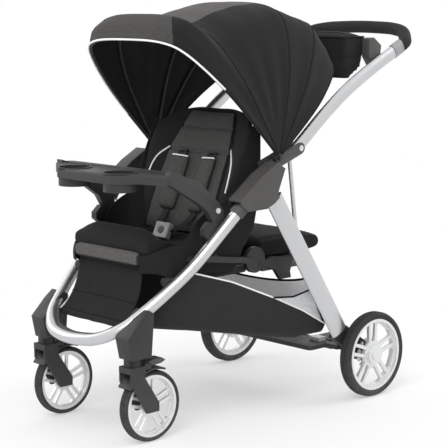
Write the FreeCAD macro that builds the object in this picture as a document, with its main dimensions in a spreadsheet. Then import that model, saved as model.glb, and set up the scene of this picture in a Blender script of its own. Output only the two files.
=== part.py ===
import FreeCAD, Part
import math
import os
import re
from types import SimpleNamespace
import Sketcher

# Sit and stand stroller. It faces -Y, +X is the child's left, and the floor is z = 0.
# "Ahead" is a distance in front of the rear wheels' axle. All sizes are millimetres and degrees.
sizes = {
    "axle_y": 288.17, "fit_gap": 0.15, "soft_gap": 0.4, "pin_gap": 0.05, "overrun": 5,
    # Rear wheels
    "rear_radius": 120, "rear_track": 286, "rear_tyre_wide": 36, "rear_tyre_deep": 19,
    "rear_ring_deep": 8, "rear_web": 9, "rear_hub_radius": 27, "rear_hub_wide": 30,
    "axle_radius": 5, "cap_radius": 15, "cap_deep": 3.5, "tyre_round": 9,
    # Front wheels and casters
    "front_radius": 92, "caster_x": 178.6, "caster_ahead": 787, "trail": 55,
    "front_tyre_wide": 27, "front_tyre_deep": 12, "front_ring_deep": 7, "front_web": 7,
    "front_hub_radius": 19, "front_hub_wide": 24, "front_axle_radius": 4, "front_tyre_round": 7,
    "boss_radius": 22, "boss_bottom": 204, "boss_top": 262, "stem_radius": 6, "stem_top": 250,
    "fender_gap": 5, "fender_wall": 5, "fork_wide": 48, "fork_arm": 6, "fork_top": 203.7,
    "fork_flange": 16, "lever_wide": 34, "lever_pin_radius": 3, "stem_gap": 2,
    # Front frame tube
    "tube_radius": 15.5, "tube_wall": 1.6, "tube_top_x": 263, "tube_top_ahead": 470, "tube_top_z": 597,
    "nose_ahead": 850, "nose_z": 255, "strip_radius": 7,
    # Hubs
    "hub_ahead": 388, "hub_z": 622, "case_long": 122, "case_high": 119, "case_face_x": 279.5,
    "case_face": 6, "case_rim": 4, "plate_x": 236, "plate_thick": 5, "leg_pin_radius": 7,
    "rivet_ahead": 240, "rivet_z": 715, "rivet_radius": 6, "rivet_head": 8, "rivet_rise": 2,
    "bracket_long": 131, "bracket_half": 15, "bracket_fall": 0.34, "cheek_x": 201, "cheek_gap": 0.8,
    "web_ahead": 27, "socket_long": 46,
    # Rear legs
    "leg_x": 262, "leg_half": 11, "leg_wide": 29, "leg_wall": 1.8, "leg_start": 34, "leg_angle": 33.1,
    "housing_rise": 79, "leg_end": "=(hub_z - rear_radius - housing_rise) / cos(leg_angle)",
    "leg_plug": 12, "lug_half": 14, "lug_thick": 10, "housing_x": 243, "housing_thick": 20,
    "housing_round": 26, "tie_radius": 11, "tie_ahead": 55,
    "tie_z": 140, "stub_reach": 34,
    "platform_half": 200, "platform_front": 162, "platform_back": 72, "platform_z": 140,
    "platform_thick": 12, "platform_arm": 32, "platform_round": 14, "grip_x": 139, "grip_wide": 37,
    "grip_long": 28, "grip_rise": 11, "pedal_x": 118, "pedal_wide": 66, "pedal_long": 62,
    "pedal_thick": 10, "pedal_wall": 4, "brake_pin_radius": 3.5, "brake_pin_long": 22,
    "brake_reach": 38, "brake_angle": 30, "ratchet_deep": 5, "ratchet_radius": 46, "slot_wide": 10,
    "brake_travel": 6,
    # Handle
    "handle_x": 220, "handle_high": 19, "handle_half": 11, "handle_wall": 1.8, "handle_nose": 16,
    "handle_end_ahead": -178, "handle_end_z": 971, "collar_wall": 2, "collar_long": 38,
    "foam_radius": 18, "core_radius": 9, "bar_ahead": -268, "bar_z": 1028,
    # Parent organiser
    "bag_half": 184, "bag_front": 16, "bag_back": -72, "bag_top": 1008, "bag_bottom": 888,
    "bag_wall": 3, "wing_thick": 28,
    # Canopy
    "canopy_ahead": 337, "canopy_z": 697, "hood_out": 20, "canopy_half": "=plate_x + hood_out",
    "visor_radius": 439, "mid_radius": 414, "back_radius": 402, "shell_wall": 2, "shell_gap": 0.8,
    "visor_front_angle": 45, "visor_back_angle": 27, "mid_front_angle": 30, "mid_back_angle": -12,
    "rear_front_angle": -8, "rear_back_angle": -51, "canopy_ring": 14, "canopy_pin_radius": 5,
    "clip_radius": 12,
    # Seat
    "bight_ahead": 480, "bight_z": 488, "back_lean": 24, "back_long": 364, "back_half": 192,
    "back_thick": 25, "back_edge": 9, "wing_deep": 42, "insert_thick": 14, "insert_half": 128,
    "pan_half": 150, "pan_back": 482, "pan_front": 712, "pan_low": 458, "pan_high": 76,
    "shoulder_x": 56, "shoulder_half": 28, "shoulder_top": 211, "shoulder_long": 150,
    "shoulder_thick": 15, "strap_wide": 24, "strap_thick": 3, "recline_ahead": 474, "recline_z": 438,
    "recline_pin": 5, "ear_radius": 8, "ear_x": 142, "ear_thick": 6, "ear_high": 56,
    "calf_half": 124, "calf_low": 438, "calf_high": 38, "calf_thick": 14, "calf_gap": 0.3,
    "buckle_out": 46, "buckle_rise": 40, "buckle_wide": 56, "buckle_high": 44, "buckle_thick": 17,
    "button_radius": 10, "button_deep": 6, "button_stand": 1.5, "button_travel": 3,
    "buckle_ahead": "=bight_ahead + buckle_out", "buckle_z": "=pan_low + buckle_rise",
    # Tray, carried by the front tube's top: its places follow from the tube's
    "mount_ahead": 50, "mount_drop": 48, "mount_long": 66, "mount_high": 48, "arm_reach": 128,
    "tray_long": 146, "tray_rise": 105, "tray_thick": 24, "bowl_x": 92, "bowl_in": 100,
    "bowl_rim_radius": 46, "bowl_radius": 40, "bowl_deep": 46, "bowl_wall": 2.5, "arm_x": 210,
    "arm_wide": 21, "arm_long": 180, "arm_high": 137, "post_inset": 21, "post_radius": 6,
    "post_high": 20, "tray_clear": 0.3, "knob_radius": 7, "knob_long": 8, "knob_rise": 27,
    "knob_travel": 3,
    "arm_back": "=tube_top_ahead + mount_ahead", "arm_low": "=tube_top_z - mount_drop",
    "post_ahead": "=arm_back + post_inset", "knob_z": "=arm_low + knob_rise",
    "tray_back": "=arm_back + arm_reach", "tray_front": "=tray_back + tray_long",
    "tray_z": "=arm_low + tray_rise", "bowl_ahead": "=tray_back + bowl_in",
    # Seat frame, bench and basket
    "rail_x": 199, "rail_thick": 6, "rail_high": 16, "rail_front_ahead": 612, "rail_front_z": 457,
    "rail_back_ahead": 385, "rail_back_z": 424, "cross_radius": 8, "cross_ahead": 520,
    "cross_apart": 80, "side_tube_radius": 11, "side_tube_x": 176, "side_tube_front": 680,
    "side_tube_back": 398, "side_tube_z": 402,
    "hanger_radius": 6, "hanger_x": 208.15, "hanger_top_ahead": 258, "hanger_top_z": 700,
    "hanger_low_ahead": 222, "hanger_low_z": 420, "gusset_x": 190, "gusset_thick": 12,
    "gusset_back": 231, "gusset_long": 132, "gusset_low": 360, "gusset_high": 66,
    "disc_radius": 35, "disc_ahead": 374, "disc_z": 424,
    "bench_half": 172, "bench_front": 338, "bench_back": 92, "bench_low": 415, "bench_high": 56,
    "base_high": 30, "base_half": 180, "base_front": 330, "base_back": 190, "runner_back": 200,
    "runner_long": 75, "runner_high": 8, "basket_wall": 3, "basket_half": 236, "basket_back": 142,
    "basket_front": 770, "basket_low": 184, "basket_high": 236, "mesh_thick": 2, "mesh_half": 232,
    "mesh_back": 148, "mesh_low": 226.5, "mesh_long": 62, "mesh_high": 132, "mesh_sag": 30,
    "latch_ahead": 470, "latch_z": 604, "latch_radius": 6, "latch_long": 34,
    "latch_thick": 6, "latch_pin_radius": 3,
    # Caster bracket, fork and lock lever outlines
    "claw_back": 733, "claw_low": 222, "claw_long": 85, "claw_high": 120, "claw_x": 150,
    "claw_wide": 51, "flange_back": 763.5, "flange_long": 48, "fork_low": 80, "lever_back": 692,
    "lever_long": 70, "lever_low": 197, "lever_high": 17, "lever_pin_ahead": 756, "lever_pin_z": 201,
    "ear_long": 20,
}

document = FreeCAD.newDocument("stroller")
sheet = document.addObject("Spreadsheet::Sheet", "Sizes")
for row, (alias, number) in enumerate(sizes.items(), start=1):
    sheet.set("A%d" % row, alias.replace("_", " "))
    sheet.set("B%d" % row, str(number))
    sheet.setAlias("B%d" % row, alias)
document.recompute()
s = SimpleNamespace(**{alias: float(getattr(sheet, alias)) for alias in sizes})

spots = {"x": ".Placement.Base.x", "y": ".Placement.Base.y", "z": ".Placement.Base.z"}
turns = {"x": FreeCAD.Rotation(FreeCAD.Vector(0, 1, 0), 90),
         "y": FreeCAD.Rotation(FreeCAD.Vector(1, 0, 0), -90), "z": FreeCAD.Rotation()}
nodes = []


def linked(text):
    """Name the sheet in front of each size that an expression uses."""
    return re.sub("[a-z][a-z_]+", lambda word: "Sizes." + word[0] if word[0] in sizes else word[0], text)


def bind(thing, **expressions):
    for name, text in expressions.items():
        thing.setExpression(spots.get(name, name), linked(text))
    return thing


def point(x, ahead, z):
    return FreeCAD.Vector(x, s.axle_y - ahead, z)


def node(name, thing):
    """Keep a finished sub-part under its own name."""
    thing.Label = name
    nodes.append(thing)
    return thing


def cylinder(name, radius, length, x, y, z, along="z"):
    thing = document.addObject("Part::Cylinder", name)
    thing.Placement.Rotation = turns[along]
    return bind(thing, Radius=radius, Height=length, x=x, y=y, z=z)


def block(name, wide, long, high, x, y, z):
    thing = document.addObject("Part::Box", name)
    return bind(thing, Length=wide, Width=long, Height=high, x=x, y=y, z=z)


def fuse(name, *parts):
    thing = document.addObject("Part::MultiFuse", name)
    thing.Shapes = list(parts)
    return thing


def cut(name, base, *tools):
    thing = document.addObject("Part::Cut", name)
    thing.Base = base
    thing.Tool = tools[0] if len(tools) == 1 else fuse(name + "_tools", *tools)
    return thing


def mirrored(name, source):
    thing = document.addObject("Part::Mirroring", name)
    thing.Source = source
    thing.Normal = FreeCAD.Vector(1, 0, 0)
    return thing


def grouped(name, *parts):
    thing = document.addObject("Part::Compound", name)
    thing.Links = list(parts)
    return thing


def pair(name, source):
    return grouped(name, source, mirrored(name + "_far", source))


def shaped(name, shape):
    thing = document.addObject("Part::Feature", name)
    thing.Shape = shape
    return thing


def outline(body, name, role, corners):
    """Sketch a closed outline whose corners follow expressions on the sheet."""
    sketch = body.newObject("Sketcher::SketchObject", name)
    plane = [item for item in body.Origin.OriginFeatures if item.Role == role][0]
    sketch.AttachmentSupport = [(plane, "")]
    sketch.MapMode = "FlatFace"
    count = len(corners)
    for index in range(count):
        angles = [2 * math.pi * step / count for step in (index, index + 1)]
        ends = [FreeCAD.Vector(math.cos(angle), math.sin(angle), 0) for angle in angles]
        sketch.addGeometry(Part.LineSegment(*ends), False)
    for index in range(count):
        sketch.addConstraint(Sketcher.Constraint("Coincident", index, 2, (index + 1) % count, 1))
    for index, (across, up) in enumerate(corners):
        for kind, text in (("DistanceX", across), ("DistanceY", up)):
            number = sketch.addConstraint(Sketcher.Constraint(kind, -1, 1, index, 1, 1.0))
            sketch.setExpression("Constraints[%d]" % number, linked(text))
    return sketch


def plate(name, corners, thick, x):
    """Pad a side-view outline of (y, z) corners, from x towards +X."""
    body = document.addObject("PartDesign::Body", name)
    sketch = outline(body, name + "_outline", "YZ_Plane", corners)
    pad = body.newObject("PartDesign::Pad", name + "_pad")
    pad.Profile = sketch
    bind(pad, Length=thick)
    bind(body, x=x)
    body.Tip = pad
    return body


def slab(name, corners, thick, z):
    """Pad a plan outline of (x, y) corners, from z upwards."""
    body = document.addObject("PartDesign::Body", name)
    sketch = outline(body, name + "_outline", "XY_Plane", corners)
    pad = body.newObject("PartDesign::Pad", name + "_pad")
    pad.Profile = sketch
    bind(pad, Length=thick)
    bind(body, z=z)
    body.Tip = pad
    return body


def rounded(body, radius, chosen):
    """Round the edges of a body's last feature that a test picks out."""
    document.recompute()
    feature = body.Tip
    names = ["Edge%d" % (index + 1) for index, edge in enumerate(feature.Shape.Edges) if chosen(edge)]
    fillet = body.newObject("PartDesign::Fillet", body.Name + "_round_%d" % len(body.Group))
    fillet.Base = (feature, names)
    bind(fillet, Radius=radius)
    body.Tip = fillet
    return body


def along(axis):
    """Pick straight edges that run along one axis."""
    def chosen(edge):
        ends = edge.Vertexes
        if len(ends) < 2:
            return False
        run = ends[1].Point - ends[0].Point
        return abs(abs(getattr(run, axis)) - run.Length) < 1e-6 * run.Length
    return chosen


def turned(name, corners, x, y, z):
    """Revolve a profile of (distance along X, radius) corners round an axle along X."""
    body = document.addObject("PartDesign::Body", name)
    sketch = outline(body, name + "_profile", "XY_Plane", corners)
    round_body = body.newObject("PartDesign::Revolution", name + "_turn")
    round_body.Profile = sketch
    round_body.ReferenceAxis = (sketch, ["H_Axis"])
    round_body.Angle = 360
    body.Tip = round_body
    bind(body, x=x, y=y, z=z)
    return body


def bent(points, closeness=0.45):
    """Join points by straight runs and tangent arcs as large as the runs allow."""
    edges = []
    start = points[0]
    for before, corner, after in zip(points, points[1:], points[2:]):
        arrive = corner - before
        leave = after - corner
        room = closeness * min(arrive.Length, leave.Length)
        arrive.normalize()
        leave.normalize()
        first = corner - arrive * room
        last = corner + leave * room
        half = arrive.getAngle(leave) / 2
        inward = leave - arrive
        inward.normalize()
        radius = room / math.tan(half)
        centre = corner + inward * (radius / math.cos(half))
        middle = centre - inward * radius
        edges.append(Part.LineSegment(start, first).toShape())
        edges.append(Part.Arc(first, middle, last).toShape())
        start = last
    edges.append(Part.LineSegment(start, points[-1]).toShape())
    return Part.Wire(edges)


def swept(name, wire, high, wide=None):
    """Sweep a circle, or an ellipse whose long axis is upright, along a wire."""
    line = shaped(name + "_line", wire)
    first = wire.OrderedEdges[0]
    start = first.valueAt(first.FirstParameter)
    ahead = first.tangentAt(first.FirstParameter)
    if wide is None:
        ring = bind(document.addObject("Part::Circle", name + "_ring"), Radius=high)
        turn = FreeCAD.Rotation(FreeCAD.Vector(0, 0, 1), ahead)
    else:
        ring = bind(document.addObject("Part::Ellipse", name + "_ring"), MajorRadius=high, MinorRadius=wide)
        across = FreeCAD.Vector(1, 0, 0)
        turn = FreeCAD.Rotation(ahead.cross(across), across, ahead, "ZXY")
    ring.Placement = FreeCAD.Placement(start, turn)
    sweep = document.addObject("Part::Sweep", name)
    sweep.Sections = [ring]
    sweep.Spine = (line, ["Edge%d" % (index + 1) for index in range(len(wire.Edges))])
    sweep.Solid = True
    sweep.Frenet = False
    return sweep


def hollow(name, wire, wall, high, wide=None):
    outer = swept(name + "_outer", wire, high, wide)
    inner = swept(name + "_bore", wire, high + " - " + wall, wide and wide + " - " + wall)
    return cut(name, outer, inner)


def loft(wires, ruled=False):
    return Part.makeLoft(wires, True, ruled)


# Wheels: a rubber tyre and a spoked rim with narrow and tulip-shaped openings in turn.
narrow_shares = ((0.07, 0.39), (0.092, 0.94))
tulip_shares = ((0.085, 0.40), (0.275, 0.70), (0.37, 0.83), (0.27, 0.93))
fifths = 5
twelfths = 12


def tyre(name, kind, x, y, z):
    half = kind + "_tyre_wide / 2"
    low = kind + "_radius - " + kind + "_tyre_deep"
    body = turned(name, [("-" + half, low), (half, low), (half, kind + "_radius"),
                         ("-" + half, kind + "_radius")], x, y, z)
    tread = getattr(s, kind + "_radius")
    return rounded(body, "tyre_round" if kind == "rear" else kind + "_tyre_round",
                   lambda edge: abs(getattr(edge.Curve, "Radius", 0) - tread) < s.pin_gap)


def opening(body, name, shares, inside, side, depth, count):
    """Cut one opening through the web and repeat it round the axle."""
    half = [(share_across, share_out) for share_across, share_out in shares]
    corners = [("%s * %s" % (inside, across), "%s * %s * %d" % (inside, out, side)) for across, out in half]
    corners += [("-%s * %s" % (inside, across), "%s * %s * %d" % (inside, out, side))
                for across, out in reversed(half)]
    sketch = outline(body, name, "YZ_Plane", corners)
    pocket = body.newObject("PartDesign::Pocket", name + "_cut")
    pocket.Profile = sketch
    pocket.SideType = "Symmetric"
    bind(pocket, Length=depth)
    ring = body.newObject("PartDesign::PolarPattern", name + "_ring")
    ring.Originals = [pocket]
    ring.Axis = (sketch, ["N_Axis"])
    ring.Angle = 360
    ring.Occurrences = count
    body.Tip = ring


def rim(name, kind, x, y, z):
    bore = ("axle_radius" if kind == "rear" else "front_axle_radius") + " + pin_gap"
    hub, web = kind + "_hub_wide / 2", kind + "_web / 2"
    ring = kind + "_tyre_wide / 2 - " + kind + "_web / 3"
    outer = "(%s_radius - %s_tyre_deep)" % (kind, kind)
    inside = "(%s_radius - %s_tyre_deep - %s_ring_deep)" % (kind, kind, kind)
    core = kind + "_hub_radius"
    corners = [("-(" + hub + ")", bore), (hub, bore), (hub, core), (web, core), (web, inside),
               (ring, inside), (ring, outer), ("-(" + ring + ")", outer), ("-(" + ring + ")", inside),
               ("-(" + web + ")", inside), ("-(" + web + ")", core)]
    if kind == "rear":
        deep = "ratchet_deep - (" + hub + ")"
        corners += [(deep, core), (deep, "ratchet_radius"), ("-(" + hub + ")", "ratchet_radius")]
    else:
        corners += [("-(" + hub + ")", core)]
    body = turned(name, corners, x, y, z)
    opening(body, name + "_slim", narrow_shares, inside, 1, kind + "_web * 1.5", fifths)
    opening(body, name + "_tulip", tulip_shares, inside, -1, kind + "_web * 1.5", fifths)
    return body


def notched(name, wheel, x, y, z):
    """Cut the ring of brake slots into a rear rim."""
    slot = document.addObject("Part::Box", name + "_slot")
    bind(slot, Length="ratchet_deep * 2", Width="slot_wide", Height="ratchet_radius - rear_hub_radius")
    bind(slot, x="-rear_hub_wide / 2 - ratchet_deep", y="-slot_wide / 2", z="rear_hub_radius + fit_gap")
    document.recompute()
    turns_round = []
    for number in range(twelfths):
        copy = slot.Shape.copy()
        copy.rotate(FreeCAD.Vector(), FreeCAD.Vector(1, 0, 0), 360 * number / twelfths)
        turns_round.append(copy)
    slots = shaped(name + "_slots", Part.makeCompound(turns_round))
    bind(slots, x=x, y=y, z=z)
    return cut(name, wheel, slots)


rear_at = ("rear_track", "axle_y", "rear_radius")
front_at = ("caster_x", "axle_y - caster_ahead + trail", "front_radius")
node("rear_tyre_left", tyre("near_rear_tyre", "rear", *rear_at))
node("rear_tyre_right", mirrored("far_rear_tyre", nodes[-1]))
near_rim = notched("near_rear_rim", rim("near_rear_wheel", "rear", *rear_at), *rear_at)
rear_cap = cylinder("rear_cap", "cap_radius", "cap_deep", "rear_track + rear_hub_wide / 2", *rear_at[1:],
                    along="x")
node("rear_rim_left", grouped("near_rear_rim_and_cap", near_rim, rear_cap))
node("rear_rim_right", mirrored("far_rear_rim_and_cap", nodes[-1]))
node("front_tyre_left", tyre("near_front_tyre", "front", *front_at))
node("front_tyre_right", mirrored("far_front_tyre", nodes[-1]))
node("front_rim_left", rim("near_front_rim", "front", *front_at))
node("front_rim_right", mirrored("far_front_rim", nodes[-1]))

# Front frame: one tube bent to a U, and the dark strip inside its front.
front_tube_shares = ((1, 1, 1), (0.814, 0.613, 0.512), (0.696, 0.358, 0.284), (0.570, 0.158, 0.111),
                     (0.350, 0.047, 0.020), (0, 0, 0))


def frame_point(shares):
    across, back, up = shares
    return point(s.tube_top_x * across, s.nose_ahead + (s.tube_top_ahead - s.nose_ahead) * back,
                 s.nose_z + (s.tube_top_z - s.nose_z) * up)


def both_sides(half):
    return half + [FreeCAD.Vector(-spot.x, spot.y, spot.z) for spot in reversed(half[:-1])]


frame_line = bent(both_sides([frame_point(row) for row in front_tube_shares]))
frame_tube = node("front_frame_tube", hollow("frame_tube", frame_line, "tube_wall", "tube_radius"))
inward = s.tube_radius + s.strip_radius + s.fit_gap
strip_shares = ((0.88, 0.44, 0.30), (0.31, 0.75, 0.35), (0, 0.88, 0.31))
strip_half = [frame_point(row) + FreeCAD.Vector(-across, back, up) * inward
              for row, (across, back, up) in zip(front_tube_shares[3:], strip_shares)]
strip = swept("strip", bent(both_sides(strip_half)), "strip_radius")
node("footrest_strip", cut("footrest", strip, swept("strip_relief", frame_line, "tube_radius + fit_gap")))


def side(ahead, z, long, high, shares):
    """Corners of a side view, as shares of a length ahead and a height from one spot."""
    return [("axle_y - (%s) - (%s) * %s" % (ahead, long, across), "%s + (%s) * %s" % (z, high, up))
            for across, up in shares]


def rod(name, radius, start, end):
    """Lay a cylinder between two points."""
    thing = document.addObject("Part::Cylinder", name)
    bind(thing, Radius=radius)
    thing.Height = (end - start).Length
    thing.Placement = FreeCAD.Placement(start, FreeCAD.Rotation(FreeCAD.Vector(0, 0, 1), end - start))
    return thing


# Hubs: a pear-shaped casing over each tube end and leg pivot, with a plate inside it.
hub_y = "axle_y - hub_ahead"
casing_shares = ((-0.09, 0.58), (-0.32, 0.43), (-0.28, 0.34), (-0.14, 0.01), (-0.09, -0.12),
                 (-0.16, -0.19), (0, -0.31), (0.23, -0.41), (0.78, -0.42), (0.97, -0.28), (1, -0.15),
                 (0.87, -0.06), (0.37, 0.32))
ridge_shares = ((1, -0.15), (0.87, -0.06), (0.37, 0.32), (-0.09, 0.58), (-0.32, 0.43))
casing_corners = side("hub_ahead", "hub_z", "case_long", "case_high", casing_shares)
ridge = side("hub_ahead", "hub_z", "case_long", "case_high", ridge_shares)
ridge += [(across, up + " - case_rim * 1.4") for across, up in reversed(ridge)]
tube_top = point(s.tube_top_x, s.tube_top_ahead, s.tube_top_z)
tube_run = frame_point(front_tube_shares[1]) - tube_top
tube_run.normalize()
tube_room = swept("tube_room", frame_line, "tube_radius + fit_gap")
socket = cut("socket", rod("socket_outer", "tube_radius + case_rim", tube_top - tube_run * s.case_rim,
                           tube_top + tube_run * s.socket_long), tube_room)
face = rounded(plate("case_plate", casing_corners, "case_face", "case_face_x"), "case_face / 3",
               lambda edge: min(corner.X for corner in edge.Vertexes) > s.case_face / 2)
rim_wide = "case_face_x - plate_x - plate_thick"
ridge_plate = plate("case_ridge", ridge, rim_wide, "plate_x + plate_thick")
node("hub_casings", pair("casings", fuse("casing", face, ridge_plate, socket)))
socket_room = rod("socket_room", "tube_radius + case_rim + fit_gap", tube_top - tube_run * s.case_rim,
                  tube_top + tube_run * s.socket_long)
hub_plate = cut("hub_plate", plate("hub_plate_solid", casing_corners, "plate_thick", "plate_x"), socket_room)
leg_pin = cylinder("leg_pin", "leg_pin_radius", "case_face_x - plate_x - plate_thick",
                   "plate_x + plate_thick", hub_y, "hub_z", along="x")
node("hub_plates", pair("plates", fuse("plate_and_pin", hub_plate, leg_pin)))

# Handle brackets: two cheeks with a web between them, clear of the handle's turning end.
rivet_y = "axle_y - rivet_ahead"
cheek_corners = [("axle_y - rivet_ahead - (%s)" % ahead, "rivet_z + (%s)" % rise) for ahead, rise in (
    ("bracket_half * bracket_fall", "bracket_half"),
    ("bracket_long", "bracket_half - bracket_long * bracket_fall"),
    ("bracket_long - bracket_half * 0.6", "-bracket_half - bracket_long * bracket_fall"),
    ("-bracket_half * bracket_fall", "-bracket_half"))]
web_corners = [("axle_y - rivet_ahead - (%s)" % ahead, "rivet_z + (%s)" % rise) for ahead, rise in (
    ("web_ahead", "bracket_half - web_ahead * bracket_fall"),
    ("web_ahead * 3", "bracket_half - web_ahead * 3 * bracket_fall"),
    ("web_ahead * 3", "-bracket_half - web_ahead * 3 * bracket_fall"),
    ("web_ahead", "-bracket_half - web_ahead * bracket_fall"))]
inner_thick = "handle_x - handle_half - cheek_gap - cheek_x"
outer_start = "handle_x + handle_half + cheek_gap"
outer_thick = "plate_x - fit_gap - handle_x - handle_half - cheek_gap"
bracket = fuse("bracket", plate("cheek_in", cheek_corners, inner_thick, "cheek_x"),
               cylinder("cheek_in_end", "bracket_half", inner_thick, "cheek_x", rivet_y, "rivet_z", "x"),
               plate("cheek_out", cheek_corners, outer_thick, outer_start),
               cylinder("cheek_out_end", "bracket_half", outer_thick, outer_start, rivet_y, "rivet_z", "x"),
               plate("bracket_web", web_corners, "handle_half * 2 + cheek_gap * 2",
                     "handle_x - handle_half - cheek_gap"))
rivet_span = "plate_x - fit_gap - cheek_x"
bracket_bore = cylinder("bracket_bore", "rivet_radius + pin_gap", rivet_span + " + overrun * 2",
                        "cheek_x - overrun", rivet_y, "rivet_z", "x")
drilled_bracket = cut("drilled_bracket", bracket, bracket_bore)
node("handle_brackets", pair("brackets", drilled_bracket))
handle_rivet = fuse("handle_rivet", cylinder("rivet_shank", "rivet_radius", rivet_span, "cheek_x", rivet_y,
                                             "rivet_z", "x"),
                    cylinder("rivet_in", "rivet_head", "rivet_rise", "cheek_x - rivet_rise", rivet_y,
                             "rivet_z", "x"),
                    cylinder("rivet_out", "rivet_head", "rivet_rise", "plate_x - fit_gap", rivet_y,
                             "rivet_z", "x"))
node("frame_rivets", pair("rivets", handle_rivet))

# Rear legs: flat oval tubes that turn on the hub pins by a solid lug.


def leg_point(down, forward=0.0, x=None):
    lean = math.radians(s.leg_angle)
    ahead = s.hub_ahead - down * math.sin(lean) + forward * math.cos(lean)
    return point(s.leg_x if x is None else x, ahead,
                 s.hub_z - down * math.cos(lean) - forward * math.sin(lean))


leg_outer = swept("leg_outer", Part.Wire([Part.makeLine(leg_point(s.leg_start), leg_point(s.leg_end))]),
                  "leg_wide", "leg_half")
leg_bore = swept("leg_bore", Part.Wire([Part.makeLine(leg_point(s.leg_start + s.leg_plug),
                                                     leg_point(s.leg_end + s.overrun))]),
                 "leg_wide - leg_wall", "leg_half - leg_wall")
lug = document.addObject("Part::Box", "lug")
bind(lug, Length="lug_thick", Width="lug_half * 2", Height="leg_start + leg_plug / 2")
lug_corner = leg_point(s.leg_start + s.leg_plug / 2, s.lug_half, s.leg_x - s.lug_thick / 2)
lug.Placement = FreeCAD.Placement(lug_corner, FreeCAD.Rotation(FreeCAD.Vector(1, 0, 0), s.leg_angle))
lug_start = "leg_x - lug_thick / 2"
lug_end = cylinder("lug_end", "lug_half", "lug_thick", lug_start, hub_y, "hub_z", "x")
lug_bore = cylinder("lug_bore", "leg_pin_radius + pin_gap", "lug_thick + overrun * 2",
                    lug_start + " - overrun", hub_y, "hub_z", "x")
leg_solid = fuse("leg_solid", cut("leg_tube", leg_outer, leg_bore), lug, lug_end)
node("rear_legs", pair("legs", cut("leg", leg_solid, lug_bore)))

# Axle housings join each leg's foot to the wheel's axle and carry the tie tube between them.
foot_back = ("axle_y - hub_ahead + leg_end * sin(leg_angle) + leg_wide * cos(leg_angle)",
             "hub_z - leg_end * cos(leg_angle) + leg_wide * sin(leg_angle)")
foot_front = ("axle_y - hub_ahead + leg_end * sin(leg_angle) - leg_wide * cos(leg_angle)",
              "hub_z - leg_end * cos(leg_angle) - leg_wide * sin(leg_angle)")
housing_corners = [foot_front, foot_back,
                   ("axle_y + housing_round * 0.6", "rear_radius + housing_round * 0.8"),
                   ("axle_y + housing_round * 0.6", "rear_radius - housing_round * 0.8"),
                   ("axle_y - housing_round", "rear_radius - housing_round * 0.7")]
axle_at = ("axle_y", "rear_radius")
housing = fuse("housing_solid", plate("housing_plate", housing_corners, "housing_thick", "housing_x"),
               cylinder("housing_end", "housing_round", "housing_thick", "housing_x", *axle_at, "x"),
               cylinder("axle_stub", "axle_radius", "stub_reach", "housing_x + housing_thick", *axle_at, "x"))
pin_y = "axle_y - brake_reach * sin(brake_angle)"
pin_z = "rear_radius + brake_reach * cos(brake_angle)"
pin_start = "rear_track - rear_hub_wide / 2 - brake_travel / 2 - brake_pin_long"
pin_bore = cylinder("pin_bore", "brake_pin_radius + pin_gap", "housing_thick + overrun * 2",
                    "housing_x - overrun", pin_y, pin_z, "x")
node("axle_housings", pair("housings", cut("housing", housing, pin_bore)))
node("axle_tube", cylinder("tie", "tie_radius", "housing_x * 2", "-housing_x", "axle_y - tie_ahead", "tie_z",
                           "x"))
node("brake_pin_left", cylinder("near_brake_pin", "brake_pin_radius", "brake_pin_long", pin_start, pin_y,
                                pin_z, "x"))
node("brake_pin_right", mirrored("far_brake_pin", nodes[-1]))

# Standing platform on the rear axle, with a light grip block near each end.
platform_long = "platform_front - platform_back"
deck = slab("deck", [("-platform_half", "axle_y - platform_back"),
                     ("platform_half", "axle_y - platform_back"),
                     ("platform_half", "axle_y - platform_front"),
                     ("-platform_half", "axle_y - platform_front")], "platform_thick", "platform_z")
deck = rounded(deck, "platform_round", along("z"))
arm = block("deck_arm", "housing_x - platform_half + overrun", "platform_arm", "platform_thick",
            "platform_half - overrun", "axle_y - platform_back - platform_arm + overrun", "platform_z")
grip = block("grip", "grip_wide", "grip_long", "grip_rise", "grip_x", "axle_y - platform_back - grip_long",
             "platform_z + platform_thick")
node("platform", fuse("standing_deck", deck, arm, mirrored("far_deck_arm", arm)))
node("platform_grips", pair("grips", grip))
pedal_y = "axle_y - tie_ahead"
pedal_solid = fuse("pedal_solid", cylinder("pedal_collar", "tie_radius + pedal_wall", "pedal_wide", "pedal_x",
                                           pedal_y, "tie_z", "x"),
                   block("pedal_pad", "pedal_wide", "pedal_long", "pedal_thick", "pedal_x", pedal_y,
                         "tie_z + pedal_wall"))
node("brake_pedal", cut("pedal", pedal_solid, cylinder("pedal_bore", "tie_radius + pin_gap",
                                                       "pedal_wide + overrun * 2", "pedal_x - overrun",
                                                       pedal_y, "tie_z", "x")))

# Caster brackets clasp the front tube; a fork with a small fender turns under each.
claw_shares = ((0, 0.92), (0.18, 1), (0.49, 0.83), (1, 0.47), (0.96, 0.33), (0.86, 0), (0.11, 0))
claw = fuse("claw_solid", plate("claw_plate", side("claw_back", "claw_low", "claw_long", "claw_high",
                                                   claw_shares), "claw_wide", "claw_x"),
            cylinder("claw_boss", "boss_radius", "boss_top - boss_bottom", "caster_x",
                     "axle_y - caster_ahead", "boss_bottom"))
stem_bore = cylinder("stem_bore", "stem_radius + pin_gap", "stem_top + stem_gap - boss_bottom + overrun",
                     "caster_x", "axle_y - caster_ahead", "boss_bottom - overrun")
node("caster_brackets", pair("claws", cut("claw", claw, tube_room, stem_bore)))

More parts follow.
